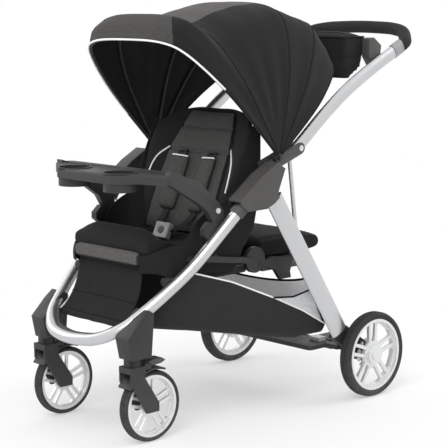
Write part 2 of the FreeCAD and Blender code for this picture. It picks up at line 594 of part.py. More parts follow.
wheel_y, wheel_z = front_at[1], front_at[2]
fender_low = "front_radius + fender_gap"
fender = turned("fender", [("-fork_wide / 2", fender_low), ("fork_wide / 2", fender_low),
                           ("fork_wide / 2", fender_low + " + fender_wall"),
                           ("-fork_wide / 2", fender_low + " + fender_wall")], "caster_x", wheel_y, wheel_z)
fender_arc_shares = (0.39, 1.22)
fender.Tip.Angle = 90 * (fender_arc_shares[1] - fender_arc_shares[0])
fender.Placement.Rotation = FreeCAD.Rotation(FreeCAD.Vector(1, 0, 0), 90 * (2 - fender_arc_shares[1]))
fork_shares = ((1, 1), (1, 0.73), (0.45, 0), (0, 0), (0, 0.2), (0.5, 0.8), (0.5, 1))
fork_corners = side("caster_ahead - trail - stem_radius * 2", "fork_low",
                    "trail + stem_radius * 2 + flange_long / 2", "fork_top - fork_flange / 2 - fork_low",
                    fork_shares)
arm_in = plate("fork_arm_in", fork_corners, "fork_arm", "caster_x - fork_wide / 2")
arm_out = plate("fork_arm_out", fork_corners, "fork_arm", "caster_x + fork_wide / 2 - fork_arm")
hubs = [cylinder("fork_hub_" + name, "front_axle_radius * 2.5", "fork_arm", x, wheel_y, wheel_z, "x")
        for name, x in (("in", "caster_x - fork_wide / 2"), ("out", "caster_x + fork_wide / 2 - fork_arm"))]
flange = block("flange", "fork_wide", "flange_long", "fork_flange", "caster_x - fork_wide / 2",
               "axle_y - flange_back - flange_long", "fork_top - fork_flange")
stem = cylinder("stem", "stem_radius", "stem_top - fork_top + fork_flange / 2", "caster_x",
                "axle_y - caster_ahead", "fork_top - fork_flange / 2")
front_axle = cylinder("front_axle", "front_axle_radius", "fork_wide", "caster_x - fork_wide / 2", wheel_y,
                      wheel_z, "x")
ear_wide = "(fork_wide - lever_wide) / 2 - fit_gap * 2"
ears = [block("ear_" + name, ear_wide, "ear_long", "lever_high - lever_pin_radius", x,
              "axle_y - flange_back - stem_gap",
              "lever_low - lever_pin_radius") for name, x in
        (("in", "caster_x - fork_wide / 2"), ("out", "caster_x + lever_wide / 2 + fit_gap * 2"))]
lever_pin = cylinder("lever_pin", "lever_pin_radius", "fork_wide - stem_gap",
                     "caster_x - fork_wide / 2 + stem_gap / 2", "axle_y - lever_pin_ahead", "lever_pin_z",
                     "x")
left_fork = fuse("fork", fender, arm_in, arm_out, *hubs, flange, stem, front_axle, *ears, lever_pin)
node("caster_fork_left", left_fork)
node("caster_fork_right", mirrored("far_fork", left_fork))
lever_shares = ((1, 0.35), (1, 0), (0.61, 0.12), (0.19, 0.24), (0, 0.59), (0.14, 1), (0.61, 1), (0.94, 0.6))
lever = plate("lever", side("lever_back", "lever_low", "lever_long", "lever_high", lever_shares),
              "lever_wide", "caster_x - lever_wide / 2")
lever_bore = cylinder("lever_bore", "lever_pin_radius + pin_gap", "lever_wide + overrun * 2",
                      "caster_x - lever_wide / 2 - overrun", "axle_y - lever_pin_ahead", "lever_pin_z", "x")
node("lock_lever_left", cut("near_lever", lever, lever_bore))
node("lock_lever_right", mirrored("far_lever", nodes[-1]))

# Handle: oval tubes that turn on the rivets, joined by a foam bar.
handle_shares = ((0, 0), (0.24, 0.31), (0.47, 0.57), (0.76, 0.82), (1, 1))
handle_run = s.handle_end_ahead - s.rivet_ahead
handle_rise = s.handle_end_z - s.rivet_z


def handle_point(along_share, up_share):
    return point(s.handle_x, s.rivet_ahead + handle_run * along_share, s.rivet_z + handle_rise * up_share)


handle_spots = [handle_point(*row) for row in handle_shares]
start_run = handle_spots[1] - handle_spots[0]
start_run.normalize()
handle_spots[0] = handle_spots[0] - start_run * s.handle_nose
handle_line = bent(handle_spots)
handle_solid = swept("handle_solid", handle_line, "handle_high", "handle_half")
handle_spots_in = list(handle_spots)
handle_spots_in[0] = handle_spots[0] + start_run * s.handle_nose * 2
end_run = handle_spots[-1] - handle_spots[-2]
end_run.normalize()
handle_spots_in[-1] = handle_spots[-1] + end_run * s.overrun
handle_hollow = swept("handle_hollow", bent(handle_spots_in), "handle_high - handle_wall",
                      "handle_half - handle_wall")
handle_bore = cylinder("handle_bore", "rivet_radius + pin_gap", "handle_half * 4",
                       "handle_x - handle_half * 2", rivet_y, "rivet_z", "x")
node("handle_tubes", pair("handles", cut("handle", handle_solid, handle_hollow, handle_bore)))
bar_shares = ((1, 0.02, 0.02), (1, 0.33, 0.28), (0.82, 0.79, 0.77), (0.545, 0.956, 0.93), (0, 1, 1))


def bar_point(across, back, up):
    return point(s.handle_x * across, s.handle_end_ahead + (s.bar_ahead - s.handle_end_ahead) * back,
                 s.handle_end_z + (s.bar_z - s.handle_end_z) * up)


bar_half = [bar_point(*row) for row in bar_shares]
core_start = handle_spots[-1] - end_run * s.collar_long * 0.8
core_line = bent(both_sides([core_start] + bar_half[1:]))
foam_start = bar_point(1, 0.11, 0.10)
foam_line = bent(both_sides([foam_start] + bar_half[1:]))
core = node("handle_bar_core", swept("core", core_line, "core_radius"))
node("handle_foam", cut("foam", swept("foam_outer", foam_line, "foam_radius"),
                        swept("foam_bore", core_line, "core_radius + fit_gap")))
collar_end = foam_start - end_run * (s.foam_radius * 0.08)
collar_wire = Part.Wire([Part.makeLine(collar_end - end_run * s.collar_long, collar_end)])
collar_room = swept("collar_room", handle_line, "handle_high + fit_gap", "handle_half + fit_gap")
collar_outer = swept("collar_outer", collar_wire, "handle_high + collar_wall", "handle_half + collar_wall")
collar = cut("collar", collar_outer, collar_room, swept("collar_bore", core_line, "core_radius + fit_gap"))
node("handle_collars", pair("collars", collar))

# Parent organiser: an open tray with a wall between its two pockets, held by side brackets.
bag_shares = ((1, 1), (0, 0.967), (0.114, 0.49), (0.16, 0.283), (0.773, 0), (0.955, 0.017))
bag_span = ("bag_front - bag_back", "bag_top - bag_bottom")
bag_solid = plate("bag_solid", side("bag_back", "bag_bottom", *bag_span, bag_shares), "bag_half * 2",
                  "-bag_half")
pocket_shares = ((1, 1.2), (0, 1.2), (0, 0.967), (0.114, 0.49), (0.16, 0.3), (0.773, 0), (0.955, 0.017))
pocket_corners = side("bag_back + bag_wall * 1.1", "bag_bottom + bag_wall",
                      "bag_front - bag_back - bag_wall * 2.2", "bag_top - bag_bottom - bag_wall",
                      pocket_shares)
pocket_wide = "bag_half - bag_wall * 1.5"
pockets = [plate("bag_pocket_" + name, pocket_corners, pocket_wide, x)
           for name, x in (("near", "bag_wall / 2"), ("far", "bag_wall - bag_half"))]
node("organiser", cut("bag", bag_solid, *pockets))
wing_shares = ((0.13, 0.5), (0.13, 0.93), (-0.1, 0.95), (-0.46, 0.76), (-0.40, 0.50), (-0.1, 0.28))
wing = plate("bag_wing", side("bag_back", "bag_bottom", *bag_span, wing_shares), "wing_thick",
             "bag_half + fit_gap")
node("organiser_brackets", pair("bag_wings", cut("bag_bracket", wing, collar_room)))

# Canopy: three hoods nested one inside the next, all turning on one pivot each side.
hood_shares = ((0, 1), (0.32, 0.98), (0.565, 0.936), (0.765, 0.863), (0.855, 0.75), (0.905, 0.66),
               (0.955, 0.55), (0.99, 0.38))
visor_shares = ((0, 1), (0.30, 0.998), (0.50, 0.985), (0.68, 0.95), (0.79, 0.87), (0.87, 0.755),
                (0.915, 0.66), (0.96, 0.55), (0.99, 0.38))


def hood(name, shares, half, radius, front, back, ring_x):
    """Part of a turned shell between two angles ahead of upright, with a ring round the pivot."""
    def profile(wide, high):
        row = [FreeCAD.Vector(wide * across, high * out, 0) for across, out in shares]
        row.append(FreeCAD.Vector(wide, s.canopy_ring / 2, 0))
        return bent([FreeCAD.Vector(-spot.x, spot.y, 0) for spot in reversed(row[1:])] + row, 0.49)
    outer, inner = profile(half, radius), profile(half - s.shell_wall, radius - s.shell_wall)
    ends = [(wire.OrderedVertexes[0].Point, wire.OrderedVertexes[-1].Point) for wire in (outer, inner)]
    edges = outer.Edges + inner.Edges + [Part.makeLine(ends[0][index], ends[1][index]) for index in (0, 1)]
    face = Part.Face(Part.Wire(Part.__sortEdges__(edges)))
    face.rotate(FreeCAD.Vector(), FreeCAD.Vector(1, 0, 0), 90 + back)
    shell = face.revolve(FreeCAD.Vector(), FreeCAD.Vector(1, 0, 0), front - back)
    shell.translate(point(0, s.canopy_ahead, s.canopy_z))
    pivot = ("axle_y - canopy_ahead", "canopy_z")
    near = cylinder(name + "_ring", "canopy_ring", "shell_wall", ring_x, *pivot, "x")
    solid = fuse(name + "_solid", shaped(name + "_shell", shell), near, mirrored(name + "_ring_far", near))
    bore = cylinder(name + "_bore", "canopy_pin_radius + pin_gap", "canopy_half * 2 + overrun * 2",
                    "-canopy_half - overrun", *pivot, "x")
    return cut(name, solid, bore)


step = s.shell_wall + s.shell_gap
node("canopy_front", hood("visor", visor_shares, s.canopy_half, s.visor_radius, s.visor_front_angle,
                          s.visor_back_angle, "canopy_half - shell_wall"))
node("canopy_middle", hood("middle_hood", hood_shares, s.canopy_half - step, s.mid_radius,
                           s.mid_front_angle, s.mid_back_angle, "canopy_half - shell_wall * 2 - shell_gap"))
node("canopy_rear", hood("rear_hood", hood_shares, s.canopy_half - step * 2, s.back_radius,
                         s.rear_front_angle, s.rear_back_angle,
                         "canopy_half - shell_wall * 3 - shell_gap * 2"))
canopy_at = ("axle_y - canopy_ahead", "canopy_z")
clip_end = "canopy_half - shell_wall * 3 - shell_gap * 2 - fit_gap"
clip = fuse("clip", cylinder("clip_disc", "clip_radius", clip_end + " - plate_x", "plate_x", *canopy_at, "x"),
            cylinder("clip_pin", "canopy_pin_radius", "canopy_half - plate_x", "plate_x", *canopy_at, "x"))
node("canopy_clips", pair("clips", clip))


# Seat back: a shell with forward wings, a quilted insert, shoulder pads and straps.
back_shares = ((0, 0.78, 0.25), (0.165, 0.82, 0.5), (0.41, 0.94, 0.85), (0.66, 1, 1), (0.824, 0.98, 0.9),
               (0.92, 0.81, 0.6), (0.975, 0.55, 0.3), (1, 0.31, 0.1))


def back_point(x, up, out):
    lean = math.radians(s.back_lean)
    return point(x, s.bight_ahead - up * math.sin(lean) + out * math.cos(lean),
                 s.bight_z + up * math.cos(lean) + out * math.sin(lean))


def back_curve(x, up):
    """How far the shell's front curves forward at a place on the back."""
    share = min(max(up / s.back_long, 0), 1)
    for low, high in zip(back_shares, back_shares[1:]):
        if low[0] <= share <= high[0]:
            mix = (share - low[0]) / (high[0] - low[0])
            half = (low[1] + (high[1] - low[1]) * mix) * s.back_half - s.back_edge
            wing = (low[2] + (high[2] - low[2]) * mix) * s.wing_deep
            radius = (half * half + wing * wing) / (2 * wing)
            return radius - math.sqrt(max(radius * radius - x * x, 0))


def strip_section(low, high, up, base, thick, edge):
    """A section across the back: a curved under side and a crowned front."""
    middle = (low + high) / 2
    inset = min(edge, (high - low) / 4)
    under = [back_point(x, up, back_curve(x, up) + base) for x in (low, middle, high)]
    over = [back_point(x, up, back_curve(x, up) + base + rise) for x, rise in
            ((high - inset, thick * 0.7), (middle, thick), (low + inset, thick * 0.7))]
    return Part.Wire([Part.Arc(*under).toShape(), Part.makeLine(under[2], over[0]),
                      Part.Arc(*over).toShape(), Part.makeLine(over[2], under[0])])


def shell_section(up_share, half_share, wing_share):
    up, half, wing = s.back_long * up_share, s.back_half * half_share, s.wing_deep * wing_share
    thick = s.back_thick * min(1, 0.3 + 4 * (1 - up_share) + 0.1)
    front = [(s.back_edge - half, wing), (0, 0), (half - s.back_edge, wing)]
    rear = [(half, wing - s.back_edge), (0, -thick), (-half, wing - s.back_edge)]
    front, rear = [[back_point(x, up, out - s.insert_thick) for x, out in row] for row in (front, rear)]
    return Part.Wire([Part.Arc(*front).toShape(), Part.makeLine(front[2], rear[0]), Part.Arc(*rear).toShape(),
                      Part.makeLine(rear[2], front[0])])


ear_at = ("axle_y - recline_ahead", "recline_z", "x")
near_ear = fuse("near_ear", block("ear_bar", "ear_thick", "ear_radius * 1.8", "ear_high", "ear_x",
                                  "axle_y - recline_ahead - ear_radius * 0.9 + ear_radius", "recline_z"),
                cylinder("ear_end", "ear_radius", "ear_thick", "ear_x", *ear_at))
ear_bore = cylinder("ear_bore", "recline_pin + pin_gap", "back_half * 2 + overrun * 2",
                    "-back_half - overrun", *ear_at)
back_shell = shaped("back_shell_loft", loft([shell_section(*row) for row in back_shares]))
node("seat_back_shell", cut("back_shell", fuse("back_shell_solid", back_shell, near_ear,
                                               mirrored("far_ear", near_ear)), ear_bore))
insert_shares = ((0.02, 0.98, 0.6), (0.06, 1, 1), (0.165, 0.99, 1), (0.41, 0.96, 1), (0.61, 0.93, 1),
                 (0.635, 0.92, 0.5), (0.66, 0.92, 1), (0.80, 0.81, 1), (0.825, 0.79, 0.5), (0.85, 0.77, 1),
                 (0.92, 0.70, 0.9), (0.955, 0.66, 0.5))
insert_wires = [strip_section(-s.insert_half * half, s.insert_half * half, s.back_long * up,
                              s.soft_gap * 4 - s.insert_thick, s.insert_thick * thick, s.insert_thick)
                for up, half, thick in insert_shares]
node("seat_back_insert", shaped("back_insert", loft(insert_wires, True)))
pad_shares = ((0, 0.85, 0.5), (0.08, 1, 1), (0.92, 1, 1), (1, 0.85, 0.5))
pad_wires = [strip_section(s.shoulder_x - s.shoulder_half * half, s.shoulder_x + s.shoulder_half * half,
                           s.shoulder_top - s.shoulder_long * (1 - up), s.soft_gap * 5,
                           s.shoulder_thick * thick, s.shoulder_thick / 2) for up, half, thick in pad_shares]
shoulder_pad = shaped("shoulder_pad", loft(pad_wires, True))
node("shoulder_pads", pair("pads", shoulder_pad))


def ribbon(name, spots, wide, thick):
    """A flat strap through points, level across."""
    wires = []
    for index, spot in enumerate(spots):
        run = spots[min(index + 1, len(spots) - 1)] - spots[max(index - 1, 0)]
        lift = FreeCAD.Vector(1, 0, 0).cross(run)
        lift.normalize()
        lift = lift * (thick / 2)
        across = FreeCAD.Vector(wide / 2, 0, 0)
        wires.append(Part.makePolygon([spot - across - lift, spot + across - lift, spot + across + lift,
                                       spot - across + lift, spot - across - lift]))
    return shaped(name, loft(wires, True))


def between(first, second, share, drop=0.0):
    return first + (second - first) * share - FreeCAD.Vector(0, 0, drop)


pad_foot = back_point(s.shoulder_x, s.shoulder_top - s.shoulder_long - s.strap_thick * 0.6,
                      s.shoulder_thick / 2)
buckle_side = s.buckle_wide / 2 + s.strap_wide / 2 + s.soft_gap
strap_end = point(buckle_side, s.buckle_ahead, s.buckle_z + s.strap_thick)
strap_spots = [pad_foot, between(pad_foot, strap_end, 0.3, s.strap_wide / 4),
               between(pad_foot, strap_end, 0.7, s.strap_wide / 4), strap_end]
node("harness_straps", pair("straps", ribbon("strap", strap_spots, s.strap_wide, s.strap_thick)))


def ring(spots, closeness=0.4):
    """A closed outline whose corners are tangent arcs."""
    edges = []
    count = len(spots)
    ends = []
    for index in range(count):
        before, corner, after = spots[index - 1], spots[index], spots[(index + 1) % count]
        arrive, leave = corner - before, after - corner
        room = closeness * min(arrive.Length, leave.Length)
        arrive.normalize()
        leave.normalize()
        first, last = corner - arrive * room, corner + leave * room
        half = arrive.getAngle(leave) / 2
        inward = leave - arrive
        inward.normalize()
        radius = room / math.tan(half)
        middle = corner + inward * (radius / math.cos(half) - radius)
        ends.append((first, middle, last))
    for index, (first, middle, last) in enumerate(ends):
        edges.append(Part.Arc(first, middle, last).toShape())
        edges.append(Part.makeLine(last, ends[(index + 1) % count][0]))
    return Part.Wire(edges)


def crowned(name, half, ahead, z, long, high, profile, stations):
    """A cushion lofted across, from a side view that swells in the middle."""
    wires = []
    for across, swell in stations:
        spots = [point(half * across, ahead + long * (0.5 + (along_share - 0.5) * (0.9 + 0.1 * swell)),
                       z + high * (0.5 + (up - 0.5) * swell)) for along_share, up in profile]
        wires.append(ring(spots))
    return shaped(name, loft(wires, True))


swell_shares = ((-1, 0.72), (-0.97, 0.88), (-0.85, 0.97), (-0.4, 1), (0.4, 1), (0.85, 0.97), (0.97, 0.88),
                (1, 0.72))
dip_share = 0.18
pan_shares = ((0.02, 0), (0, 0.38), (0.12, dip_share), (0.50, dip_share), (0.68, 0.52), (0.78, 0.9),
              (0.86, 1), (0.96, 0.75), (1, 0.42), (1, 0.05))
node("seat_pan", crowned("pan", s.pan_half, s.pan_back, s.pan_low, s.pan_front - s.pan_back, s.pan_high,
                         pan_shares, swell_shares))
calf_shares = ((0, 0), (0, 1), (1, 1), (1, 0))
calf = crowned("calf", s.calf_half, s.pan_front + s.calf_gap, s.calf_low, s.calf_thick,
               s.calf_high - s.calf_thick / 2, calf_shares, swell_shares)
calf_roll = cylinder("calf_roll", "calf_thick / 2", "calf_half * 1.9", "-calf_half * 0.95",
                     "axle_y - pan_front - calf_gap - calf_thick / 2",
                     "calf_low + calf_high - calf_thick / 2", "x")
node("leg_rest", fuse("calf_solid", calf, calf_roll))
bench_shares = ((0.04, 0.02), (0, 0.5), (0.06, 0.95), (0.5, 1), (0.95, 0.97), (1, 0.5), (0.97, 0))
node("bench_cushion", crowned("bench", s.bench_half, s.bench_back, s.bench_low, s.bench_front - s.bench_back,
                              s.bench_high, bench_shares, swell_shares))

# Buckle on the crotch strap, with a round push button.
buckle_lean = FreeCAD.Rotation(FreeCAD.Vector(1, 0, 0), -s.back_lean)
buckle_out = buckle_lean.multVec(FreeCAD.Vector(0, -1, 0))
buckle_up = buckle_lean.multVec(FreeCAD.Vector(0, 0, 1))
buckle_mid = point(0, s.buckle_ahead, s.buckle_z)
buckle_box = block("buckle_box", "buckle_wide", "buckle_thick", "buckle_high", "0", "0", "0")
buckle_box.Placement = FreeCAD.Placement(FreeCAD.Vector(), buckle_lean)
corner = buckle_mid - FreeCAD.Vector(s.buckle_wide / 2, 0, 0) - buckle_up * (s.buckle_high / 2)
corner = corner + buckle_out * (s.buckle_thick / 2)
bind(buckle_box, x="-buckle_wide / 2", y=str(corner.y), z=str(corner.z))
rounded_buckle = document.addObject("Part::Fillet", "rounded_buckle")
rounded_buckle.Base = buckle_box
document.recompute()
rounded_buckle.Edges = [(index + 1, s.strap_thick, s.strap_thick) for index in range(12)]
face_spot = buckle_mid + buckle_out * (s.buckle_thick / 2)
button_well = rod("button_well", "button_radius + fit_gap",
                  face_spot - buckle_out * (s.button_deep + s.button_travel),
                  face_spot + buckle_out * s.overrun)
node("buckle", cut("buckle_body", rounded_buckle, button_well))
node("buckle_button", rod("push_button", "button_radius",
                          face_spot - buckle_out * (s.button_deep - s.button_stand),
                          face_spot + buckle_out * s.button_stand))
strap_top = buckle_mid - buckle_up * (s.buckle_high / 2 + s.strap_thick / 2 + s.soft_gap)
strap_root = point(0, s.buckle_ahead + s.buckle_high * 0.62,
                   s.pan_low + s.pan_high * dip_share + s.strap_thick / 2 + s.soft_gap)
node("crotch_strap", ribbon("crotch", [strap_top, between(strap_top, strap_root, 0.5), strap_root],
                            s.strap_wide, s.strap_thick))

# Tray: a slab with two cup bowls and two arms that come down to mounts on the front tube.
tray_shares = ((0, 1), (0.29, 1), (0.36, 0.985), (0.46, 0.985), (0.54, 0.91), (0.59, 0.78), (0.65, 0.64),
               (0.89, 0.50), (0.97, 0.42), (1, 0.30), (1, 0.08), (0.93, 0))
tray_half = "(arm_x + arm_wide)"
tray_corners = [("%s * %s" % (tray_half, across), "axle_y - tray_back - (tray_front - tray_back) * %s" % up)
                for across, up in tray_shares]
tray_corners += [("-" + across, up) for across, up in reversed(tray_corners[1:])]
tray_slab = rounded(slab("tray_slab", tray_corners, "tray_thick", "tray_z"), "tray_thick / 6",
                    lambda edge: min(corner.Z for corner in edge.Vertexes) > s.tray_thick / 2)
tray_arm_shares = ((1, 1), (0.506, 0.803), (0.24, 0.52), (0.067, 0.30), (0, 0.19), (0, 0), (0.21, 0),
                   (0.306, 0.21), (0.511, 0.40), (0.956, 0.737), (1, 0.766))
tray_arm = plate("tray_arm", side("arm_back", "arm_low", "arm_long", "arm_high", tray_arm_shares),
                 "arm_wide", "arm_x")
bowl_y = "axle_y - bowl_ahead"
bowl_low = "tray_z + tray_thick - bowl_deep"
bowl_rooms = [cylinder("bowl_room_" + name, "bowl_radius + bowl_wall + fit_gap", "tray_thick + overrun * 2",
                       x, bowl_y, "tray_z - overrun") for name, x in (("near", "bowl_x"), ("far", "-bowl_x"))]
post_x = "(arm_x + arm_wide / 2)"
post_y = "axle_y - post_ahead"
post_bore = cylinder("post_bore", "post_radius + pin_gap", "post_high + tray_clear + overrun",
                     "-" + post_x, post_y, "arm_low - overrun")
knob_well = cylinder("knob_well", "knob_radius + fit_gap", "knob_long + knob_travel",
                     "arm_x + arm_wide - knob_long", post_y, "knob_z", "x")
knob_well_far = mirrored("knob_well_far", knob_well)
tray_solid = fuse("tray_solid", tray_slab, tray_arm, mirrored("tray_arm_far", tray_arm))
node("tray", cut("tray_body", tray_solid, *bowl_rooms, post_bore, knob_well, knob_well_far))
bowl_outer = cylinder("bowl_outer", "bowl_radius + bowl_wall", "bowl_deep", "bowl_x", bowl_y, bowl_low)
bowl_rim = cylinder("bowl_rim", "bowl_rim_radius", "bowl_wall", "bowl_x", bowl_y, "tray_z + tray_thick")
bowl_inner = cylinder("bowl_inner", "bowl_radius", "bowl_deep + bowl_wall + overrun", "bowl_x", bowl_y,
                      bowl_low + " + bowl_wall")
node("cup_bowls", pair("bowls", cut("bowl", fuse("bowl_solid", bowl_outer, bowl_rim), bowl_inner)))
node("tray_button_left", cylinder("near_knob", "knob_radius", "knob_long",
                                  "arm_x + arm_wide - knob_long + knob_travel", post_y, "knob_z", "x"))
node("tray_button_right", mirrored("far_knob", nodes[-1]))
mount_shares = ((-0.04, 1), (0.70, 1), (1, 0.62), (1, 0.28), (0.76, 0), (0.3, 0.15), (-0.04, 0.5))
mount = cut("mount", plate("mount_plate", side("arm_back", "arm_low - tray_clear - mount_high", "mount_long",
                                               "mount_high", mount_shares), "arm_wide", "arm_x"), tube_room)
post = cylinder("post", "post_radius", "post_high + overrun", "-" + post_x, post_y,
                "arm_low - tray_clear - overrun")
node("tray_mounts", grouped("mounts", mount, fuse("post_mount", mirrored("far_mount", mount), post)))

# Seat frame: side rails on the front tube with two cross tubes under the seat.
rail_corners = [("axle_y - rail_%s_ahead" % end, "rail_%s_z + rail_high / 2 * %d" % (end, sign))
                for end, sign in (("back", -1), ("back", 1), ("front", 1), ("front", -1))]
rail = cut("rail", plate("rail_plate", rail_corners, "rail_thick", "rail_x"), tube_room)
crosses = [cylinder("cross_" + name, "cross_radius", "rail_x * 2", "-rail_x", "axle_y - cross_ahead" + more,
                    "pan_low - cross_radius - soft_gap", "x")
           for name, more in (("back", ""), ("front", " - cross_apart"))]
recline_pin = cylinder("recline_pin_rod", "recline_pin", "rail_x - ear_x + fit_gap", "ear_x", *ear_at)
node("seat_frame", fuse("seat_frame_solid", rail, mirrored("far_rail", rail), *crosses, recline_pin,
                        mirrored("far_recline_pin", recline_pin)))
side_tube_outer = cylinder("side_tube_outer", "side_tube_radius", "side_tube_front - side_tube_back",
                           "side_tube_x", "axle_y - side_tube_front", "side_tube_z", "y")
side_tube = cut("side_tube", side_tube_outer, tube_room)
gusset_shares = ((1, 0.74), (0.64, 1), (0, 0.85), (0.11, 0.27), (0.08, 0), (0.39, 0), (0.56, 0.45))
gusset = plate("gusset", side("gusset_back", "gusset_low", "gusset_long", "gusset_high", gusset_shares),
               "gusset_thick", "gusset_x")
disc_start = "side_tube_x + side_tube_radius - fit_gap"
disc = cylinder("disc", "disc_radius", "rail_x - fit_gap - side_tube_x - side_tube_radius + fit_gap",
                disc_start, "axle_y - disc_ahead", "disc_z", "x")
node("bench_brackets", pair("bench_brackets_pair", fuse("bench_bracket", gusset, disc, side_tube)))
hanger_room = plate("hanger_relief", cheek_corners, "handle_half * 4", "cheek_x")
hanger = cut("hanger", rod("hanger_rod", "hanger_radius",
                           point(s.hanger_x, s.hanger_low_ahead, s.hanger_low_z),
                           point(s.hanger_x, s.hanger_top_ahead, s.hanger_top_z)), hanger_room)
node("hanger_tubes", pair("hangers", hanger))

# Bench for the older child: it slides forward on runners under the gussets.
base = block("base", "base_half * 2", "base_front - base_back", "base_high", "-base_half",
             "axle_y - base_front", "bench_low - soft_gap - base_high")
runner = block("runner", "(gusset_x - fit_gap * 2) * 2", "runner_long", "runner_high",
               "fit_gap * 2 - gusset_x", "axle_y - runner_back - runner_long", "bench_low - base_high")
node("bench_base", fuse("bench_base_solid", base, runner))

# Basket: an open tub slung between the front tube's sides, with mesh walls behind it.
basket_shares = ((0, 1, 0.02, 0.16), (0.13, 0.985, 0, 0.36), (0.29, 0.96, 0.08, 0.56),
                 (0.53, 0.91, 0.22, 0.83), (0.74, 0.84, 0.33, 1), (0.85, 0.75, 0.38, 0.74),
                 (0.93, 0.63, 0.42, 0.605), (1, 0.58, 0.44, 0.50))


def tub(name, inset, rise):
    wires = []
    for index, (along_share, half_share, low_share, high_share) in enumerate(basket_shares):
        ahead = s.basket_back + (s.basket_front - s.basket_back) * along_share
        ahead += inset * ((index == 0) - (index == len(basket_shares) - 1))
        half = s.basket_half * half_share - inset
        low = s.basket_low + s.basket_high * low_share + inset
        high = s.basket_low + s.basket_high * high_share + rise
        foot = half - s.basket_half * 0.08
        spots = [point(-half, ahead, high), point(-foot, ahead, low), point(foot, ahead, low),
                 point(half, ahead, high)]
        wires.append(Part.makePolygon(spots + spots[:1]))
    return shaped(name, loft(wires, True))


basket_room = swept("basket_room", frame_line, "tube_radius + soft_gap")
node("basket", cut("basket_tub", tub("basket_outer", 0, 0), tub("basket_inner", s.basket_wall, s.overrun),
                   basket_room))


def net(name, corners, inner, across, up, thick):
    """A flat panel with a grid of square openings, made from one holed face."""
    first, second, third, fourth = corners
    def spot(along_share, up_share):
        low = first + (second - first) * along_share
        high = fourth + (third - fourth) * along_share
        return low + (high - low) * up_share
    outer = Part.Face(Part.makePolygon(inner + inner[:1]))
    holes = []
    for column in range(across):
        for row in range(up):
            ends = ((0.18, 0.18), (0.82, 0.18), (0.82, 0.82), (0.18, 0.82))
            spots = [spot(0.04 + 0.92 * (column + a) / across, 0.05 + 0.86 * (row + b) / up) for a, b in ends]
            holes.append(Part.Face(Part.makePolygon(spots + spots[:1])))
    normal = outer.normalAt(0, 0)
    return shaped(name, outer.cut(Part.makeCompound(holes)).extrude(normal * thick))


mesh_top = s.mesh_back + s.mesh_long
wall = [point(-s.mesh_half, s.mesh_back, s.mesh_low), point(s.mesh_half, s.mesh_back, s.mesh_low),
        point(s.mesh_half, mesh_top, s.mesh_low + s.mesh_high),
        point(-s.mesh_half, mesh_top, s.mesh_low + s.mesh_high)]
sag_up = 1 - s.mesh_sag / s.mesh_high
sag_spots = [point(x * s.mesh_half, s.mesh_back + s.mesh_long * sag_up, s.mesh_low + s.mesh_high * sag_up)
             for x in (0.4, -0.4)]
low_wall = wall[:2] + [wall[0] + (wall[3] - wall[0]) * sag_up + FreeCAD.Vector(2 * s.mesh_half, 0, 0),
                       wall[0] + (wall[3] - wall[0]) * sag_up]
mesh_columns = 24
mesh_rows = 5
node("basket_mesh", net("rear_net", low_wall, wall[:3] + sag_spots + wall[3:], mesh_columns, mesh_rows,
                        s.mesh_thick))

# Storage latch: a hook on the near hub plate that holds the folded leg.
latch_y = "axle_y - latch_ahead"
latch_start = "plate_x - fit_gap * 2 - latch_thick"
latch_solid = fuse("latch_solid", cylinder("latch_eye", "latch_radius", "latch_thick", latch_start, latch_y,
                                           "latch_z", "x"),
                   block("latch_arm", "latch_thick", "latch_long", "latch_radius", latch_start,
                         latch_y, "latch_z - latch_radius / 2"))
latch_bore = cylinder("latch_bore", "latch_pin_radius + pin_gap", "latch_thick + overrun * 2",
                      latch_start + " - overrun", latch_y, "latch_z", "x")
node("storage_latch", cut("latch", latch_solid, latch_bore))
latch_pin = fuse("latch_pin", cylinder("latch_shank", "latch_pin_radius", "latch_thick + fit_gap * 3",
                                       latch_start + " - fit_gap", latch_y, "latch_z", "x"),
                 cylinder("latch_head", "latch_radius", "rivet_rise", latch_start + " - fit_gap - rivet_rise",
                          latch_y, "latch_z", "x"))
node("latch_pivot", latch_pin)

document.recompute()
for thing in document.Objects:
    if any(word in thing.State for word in ("Invalid", "Error")):
        raise RuntimeError("%s failed to build" % thing.Name)
os.makedirs("parts", exist_ok=True)
low, high = [1e9] * 3, [-1e9] * 3
for thing in nodes:
    shape = thing.Shape
    if shape.isNull() or not shape.isValid() or not shape.Solids:
        raise RuntimeError("%s is not a valid solid" % thing.Label)
    box = shape.optimalBoundingBox(False)
    low = [min(ends) for ends in zip(low, (box.XMin, box.YMin, box.ZMin))]
    high = [max(ends) for ends in zip(high, (box.XMax, box.YMax, box.ZMax))]
    print("%-20s %d solids  %.0f mm3  x %.1f..%.1f  y %.1f..%.1f  z %.1f..%.1f" % (
        thing.Label, len(shape.Solids), shape.Volume, box.XMin, box.XMax, box.YMin, box.YMax, box.ZMin,
        box.ZMax))
    shape.exportStep("parts/%s.step" % thing.Label)
print("whole", [round(number, 2) for number in low], [round(number, 2) for number in high], len(nodes))
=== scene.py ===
import math
import bpy
import bmesh
from mathutils import Matrix, Vector, noise


